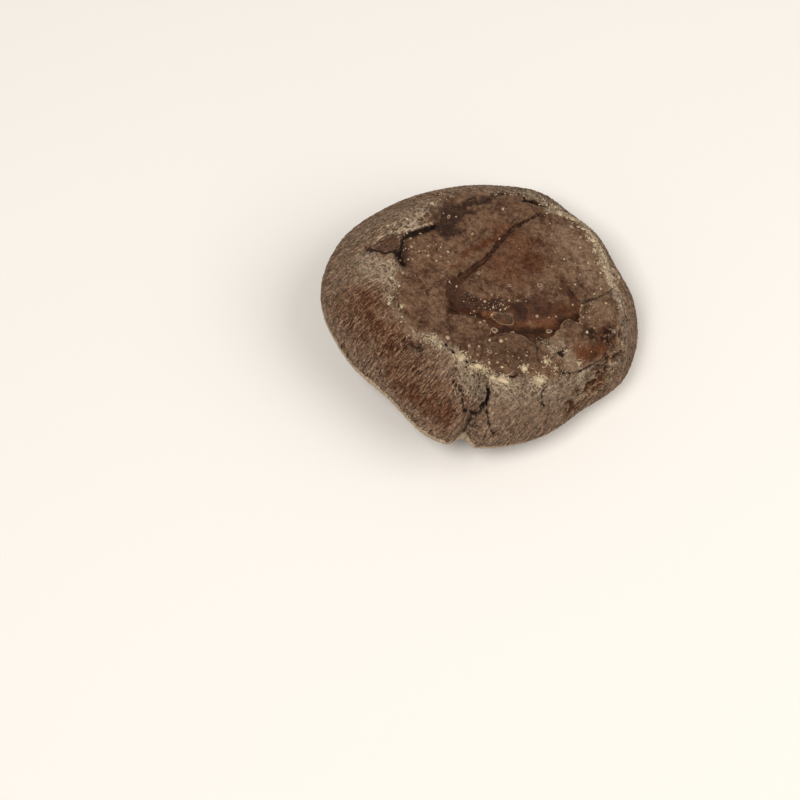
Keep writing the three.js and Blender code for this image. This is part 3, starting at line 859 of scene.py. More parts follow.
def makeGrainGroup():          # fine grain of dry flesh, for every material of the mushroom
    tree = bpy.data.node_groups.new("fleshGrain", "ShaderNodeTree")
    for name, kind, value in (("Vector", "NodeSocketVector", None), ("Scale", "NodeSocketFloat", 1000.0),
                              ("Contrast", "NodeSocketFloat", 0.3)):
        socket = tree.interface.new_socket(name=name, in_out="INPUT", socket_type=kind)
        if value is not None:
            socket.default_value = value
    for name in ("Tone", "Height"):
        tree.interface.new_socket(name=name, in_out="OUTPUT", socket_type="NodeSocketFloat")
    given = tree.nodes.new("NodeGroupInput").outputs
    result = tree.nodes.new("NodeGroupOutput").inputs
    coarse = noiseOf(tree, given["Vector"], plain(tree, "DIVIDE", given["Scale"], 2.5), 2, 0.6)
    fine = noiseOf(tree, given["Vector"], given["Scale"], 3, 0.65)
    both = maths(tree, "ADD", times(tree, coarse, 0.3), times(tree, fine, 0.7))
    low = maths(tree, "SUBTRACT", 1.0, given["Contrast"])
    tree.links.new(remap(tree, both, 0.33, 0.67, low, 1.0), result["Tone"])
    tree.links.new(both, result["Height"])
    return tree


grainGroup = makeGrainGroup()


def grainNode(tree, vector, scale, contrast):
    node = tree.nodes.new("ShaderNodeGroup")
    node.node_tree = grainGroup
    fill(tree, node.inputs["Vector"], vector)
    node.inputs["Scale"].default_value = scale
    fill(tree, node.inputs["Contrast"], contrast)
    return node.outputs["Tone"], node.outputs["Height"]


def toned(tree, colour, tone):         # darkens a colour by a 0 to 1 tone
    grey = tree.nodes.new("ShaderNodeCombineColor")
    for socket in grey.inputs:
        tree.links.new(tone, socket)
    return blend(tree, 1.0, colour, grey.outputs[0], "MULTIPLY")


def dress(tree, shader, colour, tone, height, distance, strength):     # colour and bump of a material
    tree.links.new(toned(tree, colour, tone), shader.inputs["Base Color"])
    tree.links.new(bumpOf(tree, height, distance, strength), shader.inputs["Normal"])


colours = {
    "top": tint(111, 82, 61), "topDark": tint(73, 46, 31), "topLight": tint(137, 109, 85),
    "worn": tint(142, 116, 93),
    # the flank's dark colour is painted shade between strands and threads; its light one is pale fibre with a
    # painted highlight
    "flank": tint(132, 102, 81), "fibreGapShade": tint(62, 42, 31), "fibreLightAndHighlight": tint(190, 161, 134),
    # the bruise colour is dark skin, and also painted shade in fold valleys and cracks
    "rust": tint(84, 45, 25), "stain": tint(54, 36, 27), "bruise": tint(42, 26, 17),
    # the last colour on the next line is a painted highlight on wet flesh
    "wet": tint(87, 54, 34), "wetDeep": tint(57, 33, 21), "paintedHighlight": tint(118, 74, 45),
    "pale": tint(190, 173, 148), "paleGrey": tint(144, 128, 111),
    # the crack colour is near-black painted shade inside the crevices
    "edge": tint(172, 140, 108), "crack": tint(20, 13, 9), "rim": tint(208, 183, 154),
    "lip": tint(166, 136, 109), "warmth": (1, 0.82, 0.68, 1),
}


# The fine wander of each mark's edge: noise scale, and how far in mm either way
wanders = {
    "wet": (900, 0.22), "crack": (1400, 0.14), "crackBroad": (520, 0.24), "stain": (700, 0.8),
    "plate": (1000, 0.14), "rim": (75, 0.45),
}
web = {"driftScale": 700, "drift": 0.0016, "cellScale": 660, "threads": (0.04, 0.14), "hollows": (0.14, 0.26)}
amounts = {"freckle": 0.46, "wetBruiseAndShade": 0.7, "paintedHighlight": 0.5, "edge": 0.7, "tornEdge": 0.85, "tuft": 0.75}


def edgeNoise(tree, spot, name):
    scale, reach = wanders[name]
    return remap(tree, noiseOf(tree, spot, scale, 3, 0.65), 0.25, 0.75, -reach, reach, "LINEAR")


def raggedDepth(tree, spot, name):     # a mark's depth in mm, with its edge made to wander
    return plain(tree, "ADD", attribute(tree, name + "Depth"), edgeNoise(tree, spot, name))


def webCells(tree, spot):      # distance to the borders of ragged cells, for tangled fibre
    drift = tree.nodes.new("ShaderNodeTexNoise")
    drift.inputs["Scale"].default_value = web["driftScale"]
    tree.links.new(spot, drift.inputs["Vector"])
    shrunk = tree.nodes.new("ShaderNodeVectorMath")
    shrunk.operation = "SCALE"
    shrunk.inputs["Scale"].default_value = web["drift"]
    tree.links.new(drift.outputs["Color"], shrunk.inputs[0])
    bent = tree.nodes.new("ShaderNodeVectorMath")
    bent.operation = "ADD"
    tree.links.new(spot, bent.inputs[0])
    tree.links.new(shrunk.outputs[0], bent.inputs[1])
    cells = tree.nodes.new("ShaderNodeTexVoronoi")
    cells.feature = "DISTANCE_TO_EDGE"
    cells.inputs["Scale"].default_value = web["cellScale"]
    tree.links.new(bent.outputs[0], cells.inputs["Vector"])
    return cells.outputs["Distance"]


def makeCapMaterial():
    material, tree, shader = newMaterial("capSkin", 0.9, 0.12)
    spot = objectSpot(tree)
    strand = attribute(tree, "fibre", "Vector")
    rust, paintedHighlight, pale, worn, bruise, edge, dark, flank, rim, under, webbed = (
        attribute(tree, name) for name in
        ("rust", "paintedHighlight", "pale", "worn", "bruise", "edge", "dark", "flank", "rimLine", "under", "web"))
    hairy = maths(tree, "SUBTRACT", flank, plain(tree, "MAXIMUM", rim, under))
    tone, height = grainNode(tree, spot, 1900, remap(tree, hairy, 0, 1, 0.52, 0.72))

    # marks with fine edges, from their depths in mm
    wetDepth = plain(tree, "DIVIDE", raggedDepth(tree, spot, "wet"), attribute(tree, "wetSoft"))
    wet = remap(tree, wetDepth, -1.0, 1.0)
    crackDepth = plain(tree, "ADD", raggedDepth(tree, spot, "crack"), edgeNoise(tree, spot, "crackBroad"))
    crack = times(tree, remap(tree, crackDepth, -0.12, 0.22), dark)
    stainDepth = raggedDepth(tree, spot, "stain")
    stain = times(tree, remap(tree, stainDepth, -0.5, 0.9, 0, 0.95), cloud(tree, spot, "stain"))
    bruised = times(tree, bruise, cloud(tree, spot, "bruise"))
    offEdge = plain(tree, "ABSOLUTE", plain(tree, "SUBTRACT", raggedDepth(tree, spot, "plate"), 0.1))
    tornEdge = times(tree, remap(tree, offEdge, 0.06, 0.26, 1, 0), attribute(tree, "free"))

    # flat top: leathery brown, mottled at two sizes
    freckle = cloud(tree, spot, "freckle")
    topColour = blend(tree, cloud(tree, spot, "mottle"), colours["topDark"], colours["top"])
    topColour = blend(tree, times(tree, freckle, amounts["freckle"]), topColour, colours["topLight"])
    topColour = blend(tree, cloud(tree, spot, "pits"), topColour, colours["topDark"])

    # flank: strands of pale fibre with a painted highlight, over painted shade in the gaps between them
    strokes = noiseOf(tree, strand, 2.0, 3, 0.6, 0.5)
    gaps = remap(tree, noiseOf(tree, strand, 1.6, 3, 0.62, 0.6), 0.36, 0.47)
    flankColour = blend(tree, gaps, colours["fibreGapShade"], colours["flank"])
    flankColour = blend(tree, remap(tree, strokes, 0.48, 0.62, 0, 0.9), flankColour, colours["fibreLightAndHighlight"])
    colour = blend(tree, flank, topColour, flankColour)

    # worn, rusty, pale and webbed skin, with painted shade in the web's hollows between its threads
    wornShare = times(tree, worn, remap(tree, freckle, 0, 1, 0.45, 0.95))
    colour = blend(tree, wornShare, colour, colours["worn"])
    rusty = times(tree, rust, remap(tree, strokes, 0.4, 0.62, 1.0, 0.5))
    colour = blend(tree, rusty, colour, colours["rust"])
    paleShare = times(tree, pale, remap(tree, cloud(tree, spot, "broken"), 0.0, 1.0, 0.2, 1.0))
    greyed = blend(tree, cloud(tree, spot, "greyed"), colours["paleGrey"], colours["pale"])
    colour = blend(tree, paleShare, colour, greyed)
    cells = webCells(tree, spot)
    threads = remap(tree, cells, *web["threads"], 1.0, 0.0)
    hollows = remap(tree, cells, *web["hollows"])
    colour = blend(tree, times(tree, webbed, hollows), colour, colours["fibreGapShade"])
    colour = blend(tree, times(tree, webbed, threads), colour, colours["pale"])
    colour = blend(tree, attribute(tree, "seam"), colour, colours["rim"])

    # bruises and painted shade, the stain, wet flesh with its painted highlight, and torn edges
    colour = blend(tree, bruised, colour, colours["bruise"])
    colour = blend(tree, stain, colour, colours["stain"])
    wetColour = blend(tree, cloud(tree, spot, "wet"), colours["wetDeep"], colours["wet"])
    wetColour = blend(tree, times(tree, bruise, amounts["wetBruiseAndShade"]), wetColour, colours["wetDeep"])
    # painted highlight: a warm light colour on and beside the wet flesh, for its sheen
    wetColour = blend(tree, paintedHighlight, wetColour, colours["paintedHighlight"])
    colour = blend(tree, wet, colour, wetColour)
    colour = blend(tree, times(tree, paintedHighlight, amounts["paintedHighlight"]), colour, colours["paintedHighlight"])
    colour = blend(tree, times(tree, edge, amounts["edge"]), colour, colours["edge"])
    colour = blend(tree, times(tree, tornEdge, amounts["tornEdge"]), colour, colours["edge"])

    # the pale rolled rim, the lip, the cracks with painted shade in them, and the hairs' own lightness
    frayed = plain(tree, "ADD", rim, plain(tree, "MULTIPLY", plain(tree, "SUBTRACT", strokes, 0.5), 1.6))
    frayed = plain(tree, "ADD", frayed, edgeNoise(tree, spot, "rim"))
    lipShare = times(tree, remap(tree, frayed, 0.3, 0.7, 0, 0.95), remap(tree, rim, 0.04, 0.3))
    colour = blend(tree, lipShare, colour, colours["rim"])
    colour = blend(tree, under, colour, colours["lip"])
    # painted shade inside the cracks: near black, turning to the dark bruise colour
    crackShade = blend(tree, cloud(tree, spot, "crackShade"), colours["crack"], colours["bruise"])
    colour = blend(tree, crack, colour, crackShade)
    tuft = times(tree, attribute(tree, "tuft"), amounts["tuft"])
    colour = blend(tree, tuft, colour, colours["fibreLightAndHighlight"])
    colour = blend(tree, rust, colour, colours["warmth"], "MULTIPLY")

    tree.links.new(remap(tree, wet, 0.3, 1.0, 0.9, 0.6), shader.inputs["Roughness"])
    woolly = maths(tree, "ADD", times(tree, strokes, 0.6), times(tree, gaps, 0.3))
    raised = maths(tree, "ADD", times(tree, height, 0.4), times(tree, woolly, flank))
    dress(tree, shader, colour, tone, raised, 0.0006, 0.9)
    return material


capMaterial = makeCapMaterial()
finishPiece(capMesh, capMaterial)
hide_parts("cap")
print("cap done")


# Small growths that lie on the skin. A place is on the spread-out skin, in mm.
topPoints = np.flatnonzero(body["top"])
lookup = KDTree(len(topPoints))
for i, k in enumerate(topPoints):
    lookup.insert((*body["spread"][k], 0), i)
lookup.balance()
capNormals = np.empty(len(shaped) * 3)
capMesh.data.vertices.foreach_get("normal", capNormals)
capNormals = capNormals.reshape(-1, 3)


def standOn(places):           # row points, normals and nearest vertices of places on the skin
    near = [lookup.find_n((*place, 0), 3) for place in places]
    ids = np.array([[topPoints[hit[1]] for hit in hits] for hits in near])
    weight = np.array([[1 / (hit[2] + 0.02) for hit in hits] for hits in near])
    weight /= weight.sum(axis=1, keepdims=True)
    spots = np.einsum("ij,ijk->ik", weight, shaped[ids])
    return spots, capNormals[ids[:, 0]], ids[:, 0]


def unit(vectors):
    return vectors / np.maximum(np.linalg.norm(vectors, axis=-1, keepdims=True), 1e-9)


growths = {
    "seed": 31, "fleckScale": 0.82, "fleckKnobs": 0.42, "fleckSides": (0.7, 1.15),
    # each kind's dimple, roughness, range of height to width and range of tone
    "kinds": {
        "flecks": (0.0, 1.1, (0.35, 0.6), (0.25, 1.0)),
        "craters": (0.9, 1.0, (0.4, 0.6), (0.9, 1.0)),
        "flakes": (0.0, 1.5, (0.25, 0.35), (0.0, 0.3)),
    },
    # single flecks: photo pixel and radius in mm
    "flecks": [
        (485, 301.1, 0.42), (491.6, 294.6, 0.32), (500.9, 303, 0.3), (503.1, 304.7, 0.26),
        (493.6, 306.4, 0.38), (507, 306.9, 0.34), (509.3, 300.8, 0.34), (517.6, 300.8, 0.3),
        (526, 301.3, 0.26), (490.8, 308.6, 0.24), (500.9, 309.1, 0.34), (505.4, 308, 0.3),
        (474.7, 310.3, 0.36), (470.8, 312.5, 0.26), (475.8, 315.3, 0.26), (485.8, 306.9, 0.22),
        (480.8, 299.1, 0.24), (464.1, 300.8, 0.26), (456.8, 285.7, 0.46), (449.6, 282.4, 0.26),
        (537.2, 315.8, 0.55), (549.4, 317, 0.28), (556.7, 315.8, 0.38), (572.9, 304.4, 0.34),
        (580.1, 274.6, 0.46), (560.6, 288.5, 0.34), (492, 314.2, 0.4), (431.1, 223.6, 0.48),
        (421.1, 233.2, 0.66), (410.8, 238.6, 0.38), (403.9, 239.6, 0.36), (411.3, 246.6, 0.46),
        (428.2, 246.2, 0.4), (440.7, 247.5, 0.4), (438.9, 249.3, 0.28), (447.9, 252, 0.42),
        (419.3, 251.1, 0.38), (403.7, 250.2, 0.3), (412.6, 259.1, 0.34), (408.1, 259.6, 0.28),
        (400.1, 258.9, 0.34), (428.2, 255.5, 0.36), (436.7, 260.9, 0.42), (448.3, 261.8, 0.34),
        (402.8, 272.9, 0.46), (472.4, 234.1, 0.5), (456.3, 216.3, 0.32), (443.8, 213.1, 0.26),
        (480, 206.4, 0.3), (502.8, 209.1, 0.46), (499.6, 238.6, 0.38), (449.2, 281.4, 0.26),
        (546.7, 213.3, 0.44), (571, 226.9, 0.62), (580.6, 237.2, 0.5), (580.2, 248, 0.34),
        (588.2, 263.2, 0.36), (597.8, 264, 0.44), (600.5, 273.1, 0.4), (600.5, 288.7, 0.4),
        (594.2, 294.3, 0.36), (575, 284.7, 0.38), (581.4, 305.4, 0.34), (590.6, 304.6, 0.28),
        (551.9, 267.1, 0.36), (564.3, 259.2, 0.32), (549.9, 223.7, 0.28), (559.3, 342.1, 0.62),
        (548.4, 346.6, 0.5), (501.2, 341.5, 0.6), (497.4, 362.5, 0.45), (501.9, 367, 0.5),
        (489.1, 362.5, 0.42), (489.7, 340.4, 0.46), (447.7, 337.7, 0.7), (473, 365, 0.46),
        (469, 346, 0.5), (479, 346.5, 0.44), (583, 318, 0.36), (589, 318, 0.28), (606, 303, 0.4),
        (484.7, 320.3, 0.46), (479.7, 323.1, 0.4), (594, 328, 0.3), (587, 332.5, 0.5),
        (526.5, 355.6, 0.3),
    ],
    # flecks with a dimple in the middle
    "craters": [
        (494.8, 329.5, 0.95), (512.6, 332, 0.65), (549.1, 330.9, 1.0), (500.9, 341.5, 0.7),
        (448.8, 216.3, 0.62), (431.1, 223.6, 0.55), (539.4, 285.7, 0.68), (509.8, 285.7, 0.62),
        (478.6, 272.9, 0.55), (495.6, 194.4, 0.6), (489.7, 351.7, 0.66),
    ],
    # bigger flat flakes: photo pixel, radius in mm and how much longer than wide
    "flakes": [
        (484, 369.8, 0.75, 2.2), (493, 378.4, 0.7, 1.9), (501.5, 380.4, 0.85, 2.3),
        (472, 366.6, 0.6, 1.8), (391, 278, 0.5, 1.2), (389, 303.5, 0.75, 1.0), (402, 306.5, 0.55, 1.1),
        (399, 286, 0.4, 1.0), (407, 219, 0.5, 1.0), (432, 203, 0.5, 1.4), (404, 229, 0.5, 1.0),
        (388, 226, 0.5, 1.2), (540, 380.8, 1.15, 1.3), (524.2, 368.3, 1.0, 1.0),
        (545.4, 361.5, 0.75, 0.8), (478.5, 366.4, 0.8, 1.8), (461, 358.5, 0.95, 1.2),
        (560, 213.5, 1.0, 1.0), (572, 219.5, 0.8, 1.3), (583, 229, 0.8, 1.0), (592.8, 240.7, 1.0, 1.1),
        (594.7, 250.5, 0.65, 1.2), (607.7, 275.4, 0.75, 0.9), (604, 267, 0.6, 0.9), (433, 337, 0.55, 1.2),
        (440.5, 346.5, 0.5, 1.0), (567, 350.5, 0.6, 0.8), (578.4, 363.2, 0.5, 0.8),
        (447.7, 337.7, 0.6, 0.9),
    ],
    # fine threads strewn over a chain: pixel chain, stray in mm, how many
    "threads": [
        ([(364, 262), (374, 269), (386, 270)], 2.4, 60), ([(384, 276), (392, 290), (398, 306)], 1.4, 20),
        ([(462, 366), (469, 380), (474, 392)], 2.2, 90), ([(502, 386), (525, 390), (552, 388)], 2.4, 80),
        ([(395, 226), (412, 218), (424, 210)], 1.5, 36), ([(362, 236), (382, 226), (404, 214)], 1.4, 20),
        ([(550, 208), (582, 224), (600, 248), (612, 276)], 1.1, 130),
        ([(550, 351), (556, 362), (572, 366)], 1.0, 14), ([(538, 339), (549, 345)], 0.9, 16),
        ([(426, 332), (442, 350)], 1.0, 22), ([(560, 384), (585, 380)], 2.4, 24),
        ([(586, 392), (600, 382), (610, 372)], 2.0, 10),
    ],
    # strewn flecks: pixel chain, how far they stray in mm, how many, least and largest radius
    "strewn": [
        ([(393, 262), (388, 290), (398, 316)], 2.2, 30, 0.14, 0.3),
        ([(398, 316), (424, 342), (455, 358)], 1.8, 46, 0.16, 0.4),
        ([(461, 359), (482, 369), (497, 379), (540, 381), (566, 372)], 1.6, 60, 0.16, 0.42),
        ([(480, 350), (505, 360), (530, 356)], 2.6, 26, 0.14, 0.32),
        ([(552, 345), (565, 352), (580, 360)], 2.2, 22, 0.14, 0.32),
        ([(500, 192), (530, 196), (562, 213), (598, 245), (611, 275), (622, 310)], 1.2, 80, 0.16, 0.46),
        ([(408, 244), (430, 250), (445, 256)], 2.6, 34, 0.13, 0.26),
        ([(462, 292), (480, 305), (505, 304)], 1.5, 60, 0.09, 0.2),
        ([(500, 215), (560, 240), (590, 280)], 6.0, 60, 0.1, 0.22),
        ([(420, 280), (440, 300), (450, 240)], 5.0, 40, 0.1, 0.2),
        ([(560, 320), (600, 310), (612, 330)], 2.5, 24, 0.12, 0.3),
        ([(345, 240), (376, 222), (420, 203), (450, 196)], 1.8, 40, 0.14, 0.34),
    ],
    # frayed tufts: photo pixel, how many strands and how far they reach in mm
    "tufts": [
        (460, 357.5, 36, 1.8), (473, 366.8, 20, 1.3), (479.5, 367.8, 26, 1.5), (486, 370.5, 22, 1.5),
        (491, 377.5, 26, 1.5), (498, 379.5, 28, 1.7), (505, 380, 24, 1.5), (524.2, 368.3, 46, 1.5),
        (539.5, 381.5, 64, 2.2), (545.9, 360.6, 22, 1.3), (552, 352, 8, 0.8), (567.6, 350.4, 10, 0.8),
        (578.4, 363.2, 10, 0.9), (555.4, 367.6, 12, 0.9), (559.9, 212.9, 22, 1.4), (579, 221.7, 30, 1.7),
        (593.4, 240, 34, 1.8), (588, 232, 16, 1.2), (571, 218, 16, 1.3), (599, 249, 16, 1.3),
        (553, 206, 10, 1.0), (528, 192, 8, 0.9), (600, 262, 12, 1.0), (611, 286, 12, 1.0),
        (594.2, 251.2, 12, 0.9), (606.1, 268, 14, 1.0), (608.1, 276.7, 18, 1.1), (433, 338, 20, 1.5),
        (440, 346, 16, 1.2), (404.1, 230.5, 12, 0.9), (431.8, 203.8, 12, 1.1), (398, 232, 12, 0.9),
        (391, 262, 12, 1.1), (396, 284, 6, 0.8), (388, 300, 8, 1.0), (401, 306, 6, 0.8),
        (543, 200, 8, 0.9), (560, 208, 10, 1.0), (417, 214, 10, 1.0), (394, 224, 10, 1.0),
        (602, 256, 12, 1.0), (617, 290, 8, 0.9),
    ],
    "tuftDensity": 1.6, "tuftSpread": 0.36, "tuftLength": (0.2, 0.75), "tuftHalfWidth": (0.09, 0.24),
    "threadLength": (0.9, 2.4), "threadHalfWidth": (0.055, 0.09),
    "hairCount": 9000, "hairsFrom": 24, "hairLength": (0.9, 2.1), "hairHalfWidth": (0.07, 0.13),
    # a tuft strand or hair: its vertices, and share of its length and width at its two middle rings
    "strandPoints": 10, "strandShape": ((0.3, 1.0), (0.72, 0.7)),
}
draw = np.random.default_rng(growths["seed"])


def crumb(dimple):             # one unit fleck, modelled once
    deselectAll()
    bpy.ops.mesh.primitive_ico_sphere_add(subdivisions=3 if dimple else 2, radius=1, location=(0, 0, 0))
    ball = bpy.context.object
    points = vertsOf(ball)
    rise = points[:, 2].copy()
    points[:, 2] -= dimple * smooth(rise, 0.72, 0.95)
    faces = np.array([list(face.vertices) for face in ball.data.polygons])
    bpy.data.objects.remove(ball)
    return points, faces, rise


def frameOn(normals):          # two directions across each normal
    first = unit(np.cross(normals, [0.31, 0.87, 0.38]))
    return first, np.cross(normals, first)


def strewn(chain, stray, count):       # places scattered about a pixel chain
    path = onSkin(chain)
    share = draw.uniform(0, len(path) - 1, count)
    step = np.minimum(share.astype(int), len(path) - 2)
    return mix(path[step], path[step + 1], (share - step)[:, None]) + draw.normal(0, stray / 1.6, (count, 2))


def pixelPlaces(rows):         # rows that begin with a pixel, as rows that begin with a place on the skin
    rows = np.array(rows)
    return np.column_stack([onSkin(rows[:, :2]), rows[:, 2:]])


def makeFlecks():
    scattered = []
    for chain, stray, count, least, largest in growths["strewn"]:
        places = strewn(chain, stray, count)
        scattered.append(np.column_stack([places, mix(least, largest, draw.uniform(0, 1, count) ** 2)]))
    points, faces, tones, pits, start = [], [], [], [], 0
    for kind, (dimple, rough, lowness, tone) in growths["kinds"].items():
        places = pixelPlaces(growths[kind])
        if kind == "flecks":
            places = np.concatenate([*scattered, places])
        unitPoints, unitFaces, unitRise = crumb(dimple)
        spots, normals, _ = standOn(places[:, :2])
        first, second = frameOn(normals)
        for spot, normal, a, b, place in zip(spots, normals, first, second, places):
            stretch = place[3] if len(place) > 3 else 1
            knobs = 1 + growths["fleckKnobs"] * rough * grainAt(unitPoints * 1.5 * rough + spot, 1.0, 12, 2)
            wide, long = draw.uniform(*growths["fleckSides"], 2)
            local = unitPoints * knobs[:, None] * place[2] * growths["fleckScale"]
            flat = local[:, :1] * wide * stretch * a + local[:, 1:2] * long * b
            points.append(spot + flat + (local[:, 2:] * draw.uniform(*lowness) + 0.03) * normal)
            faces.append(unitFaces + start)
            start += len(unitPoints)
            tones.append(np.full(len(unitPoints), mix(tone[1], tone[0], draw.uniform(0, 1) ** 2)))
            pits.append(smooth(unitRise, 0.78, 0.92) * np.sign(dimple))
    piece = pieceFrom("capFlecks", np.concatenate(points), np.concatenate(faces).tolist())
    setMask(piece, "tone", np.concatenate(tones))
    setMask(piece, "pit", np.concatenate(pits))
    return piece


def slivers(name, starts, ends, halfWidths, rise, thick, curve):
    # thin closed strands lying on the skin, from their roots to their raised tips
    spots, normals, roots = standOn(starts)
    tips, _, _ = standOn(ends)
    side = unit(np.cross(tips - spots, normals))
    points = [spots - 0.1 * normals]
    for share, width in growths["strandShape"]:
        middle = mix(spots, tips, share) + normals * (rise * share + 0.04)[:, None] + side * curve[:, None]
        for across, up in ((-1, 0), (0, 1), (1, 0), (0, -1)):
            points.append(middle + side * (across * width * halfWidths)[:, None] + normals * thick * up)
    points.append(tips + normals * rise[:, None])
    loops = []
    for i in range(4):
        j = (i + 1) % 4
        loops += [[0, 1 + i, 1 + j], [1 + i, 5 + i, 5 + j, 1 + j], [5 + i, 9, 5 + j]]
    firsts = range(0, len(spots) * growths["strandPoints"], growths["strandPoints"])
    faces = [[first + k for k in loop] for first in firsts for loop in loops]
    return pieceFrom(name, np.stack(points, axis=1).reshape(-1, 3), faces), roots


def perStrand(values):
    return np.repeat(values, growths["strandPoints"], axis=0)


def makeTufts():
    starts, ends, widths = [], [], []
    for x, y, count, reach in growths["tufts"]:
        count = int(growths["tuftDensity"] * count)
        turn = draw.uniform(0, 2 * np.pi, count)
        root = onSkin([(x, y)])[0] + draw.normal(0, growths["tuftSpread"] * reach, (count, 2))
        length = reach * draw.uniform(*growths["tuftLength"], count)
        starts.append(root)
        ends.append(root + length[:, None] * ways(turn))
        widths.append(draw.uniform(*growths["tuftHalfWidth"], count))
    for chain, stray, count in growths["threads"]:
        root = strewn(chain, stray, count)
        turn = draw.uniform(0, 2 * np.pi, count)
        length = draw.uniform(*growths["threadLength"], count)
        starts.append(root)
        ends.append(root + length[:, None] * ways(turn))
        widths.append(draw.uniform(*growths["threadHalfWidth"], count))
    starts, ends, widths = np.concatenate(starts), np.concatenate(ends), np.concatenate(widths)
    count = len(starts)
    fine = widths < growths["threadHalfWidth"][1]
    tone = np.where(fine, draw.uniform(0.3, 0.9, count), draw.uniform(0, 0.55, count))
    piece, _ = slivers("capTufts", starts, ends, widths, draw.uniform(0.02, 0.22, count), 0.07,
                       draw.normal(0, 1, count) * np.where(fine, 0.34, 0.16))
    setMask(piece, "tone", perStrand(tone))
    return piece


def makeHairs():               # strands of the flank that stand a little free of it
    count = growths["hairCount"]
    angle = draw.uniform(0, 2 * np.pi, count)
    reach = np.sqrt(draw.uniform((growths["hairsFrom"] / skinReach) ** 2, 1, count)) * skinReach
    starts = reach[:, None] * ways(angle)
    near = standOn(starts)[2]
    unruly = 0.22 + 0.8 * np.maximum(masks["web"], 0.6 * masks["worn"])[near]
    heading = angle + strandTurn(angle) + draw.normal(0, 1, count) * unruly
    length = draw.uniform(*growths["hairLength"], count)
    ends = starts + length[:, None] * ways(heading)
    keep = np.linalg.norm(ends, axis=1) < skinReach - 0.05
    keep &= (masks["flank"][near] > 0.5) & (masks["crackDepth"][near] < -0.35)
    keep &= masks["crackDepth"][standOn(ends)[2]] < -0.35
    bare = np.maximum(np.maximum(masks["web"], masks["seam"]), smooth(masks["worn"], 0.5, 1))
    keep &= draw.uniform(0, 1, count) > 0.75 * bare[near]
    starts, ends, count = starts[keep], ends[keep], int(keep.sum())
    piece, roots = slivers("capHairs", starts, ends, draw.uniform(*growths["hairHalfWidth"], count),
                           draw.uniform(0, 0.16, count), 0.06, draw.normal(0, 0.07, count))
    for name in masks:
        values = np.minimum(masks[name][roots], -0.5) if name == "crackDepth" else masks[name][roots]
        setMask(piece, name, perStrand(values))
    setVectors(piece, "fibre", perStrand(fibre[roots]))
    lightness = draw.uniform(0, 1, count) ** 1.3 * (1 - 0.6 * masks["rust"][roots])
    setMask(piece, "tuft", perStrand(lightness))
    return piece


def makeFleckMaterial():
    material, tree, shader = newMaterial("dryFleck", 0.9)
    tone, height = grainNode(tree, objectSpot(tree), 2200, 0.35)
    colour = blend(tree, attribute(tree, "tone"), tint(205, 185, 150), tint(156, 131, 106))
    colour = blend(tree, attribute(tree, "pit"), colour, tint(82, 48, 32))
    dress(tree, shader, colour, tone, height, 0.0002, 0.6)
    return material


fleckMaterial = makeFleckMaterial()
for piece in (makeFlecks(), makeTufts()):
    finishPiece(piece, fleckMaterial)
capHairs = makeHairs()
finishPiece(capHairs, capMaterial)
print("flecks, tufts and hairs strewn")


# Gills: long leaves from the stem to the margin, with short ones between them near the margin
gills = {
    "pairs": 118, "halfThick": 0.17, "clear": 0.4, "plate": 1.1,
    "inner": 7.6, "steps": 22, "wave": 0.32, "slant": 0.15, "seed": 5,
    # where a short leaf starts on the way out, and how deep it hangs beside a long one
    "shortStart": (0.3, 0.72), "shortDepth": (0.75, 0.98),
    # share of the way out, and height of the leaves' free edge
    "edge": [(0, 6.3), (0.25, 5.2), (0.5, 4.3), (0.75, 3.7), (0.93, 3.4), (1, 4.4)],
    # share of the way down a leaf, and its thickness there
    "leaf": [(0.0, 1.3), (0.3, 1.0), (0.75, 0.85), (0.96, 0.6), (1.0, 0.15)],
}


def gillRoof(angle, share):    # distance from the axis and height of the flesh over the gills
    inner = radiusAt(cap["rim"], angle) - cap["lipDepth"]
    reach = mix(gills["inner"], inner - cap["lipGap"] - gills["clear"], share)
    parts, levels = zip((0, cap["flesh"]), *cap["underside"][::-1])
    return reach, np.interp(reach / inner, parts, levels) - gills["clear"]


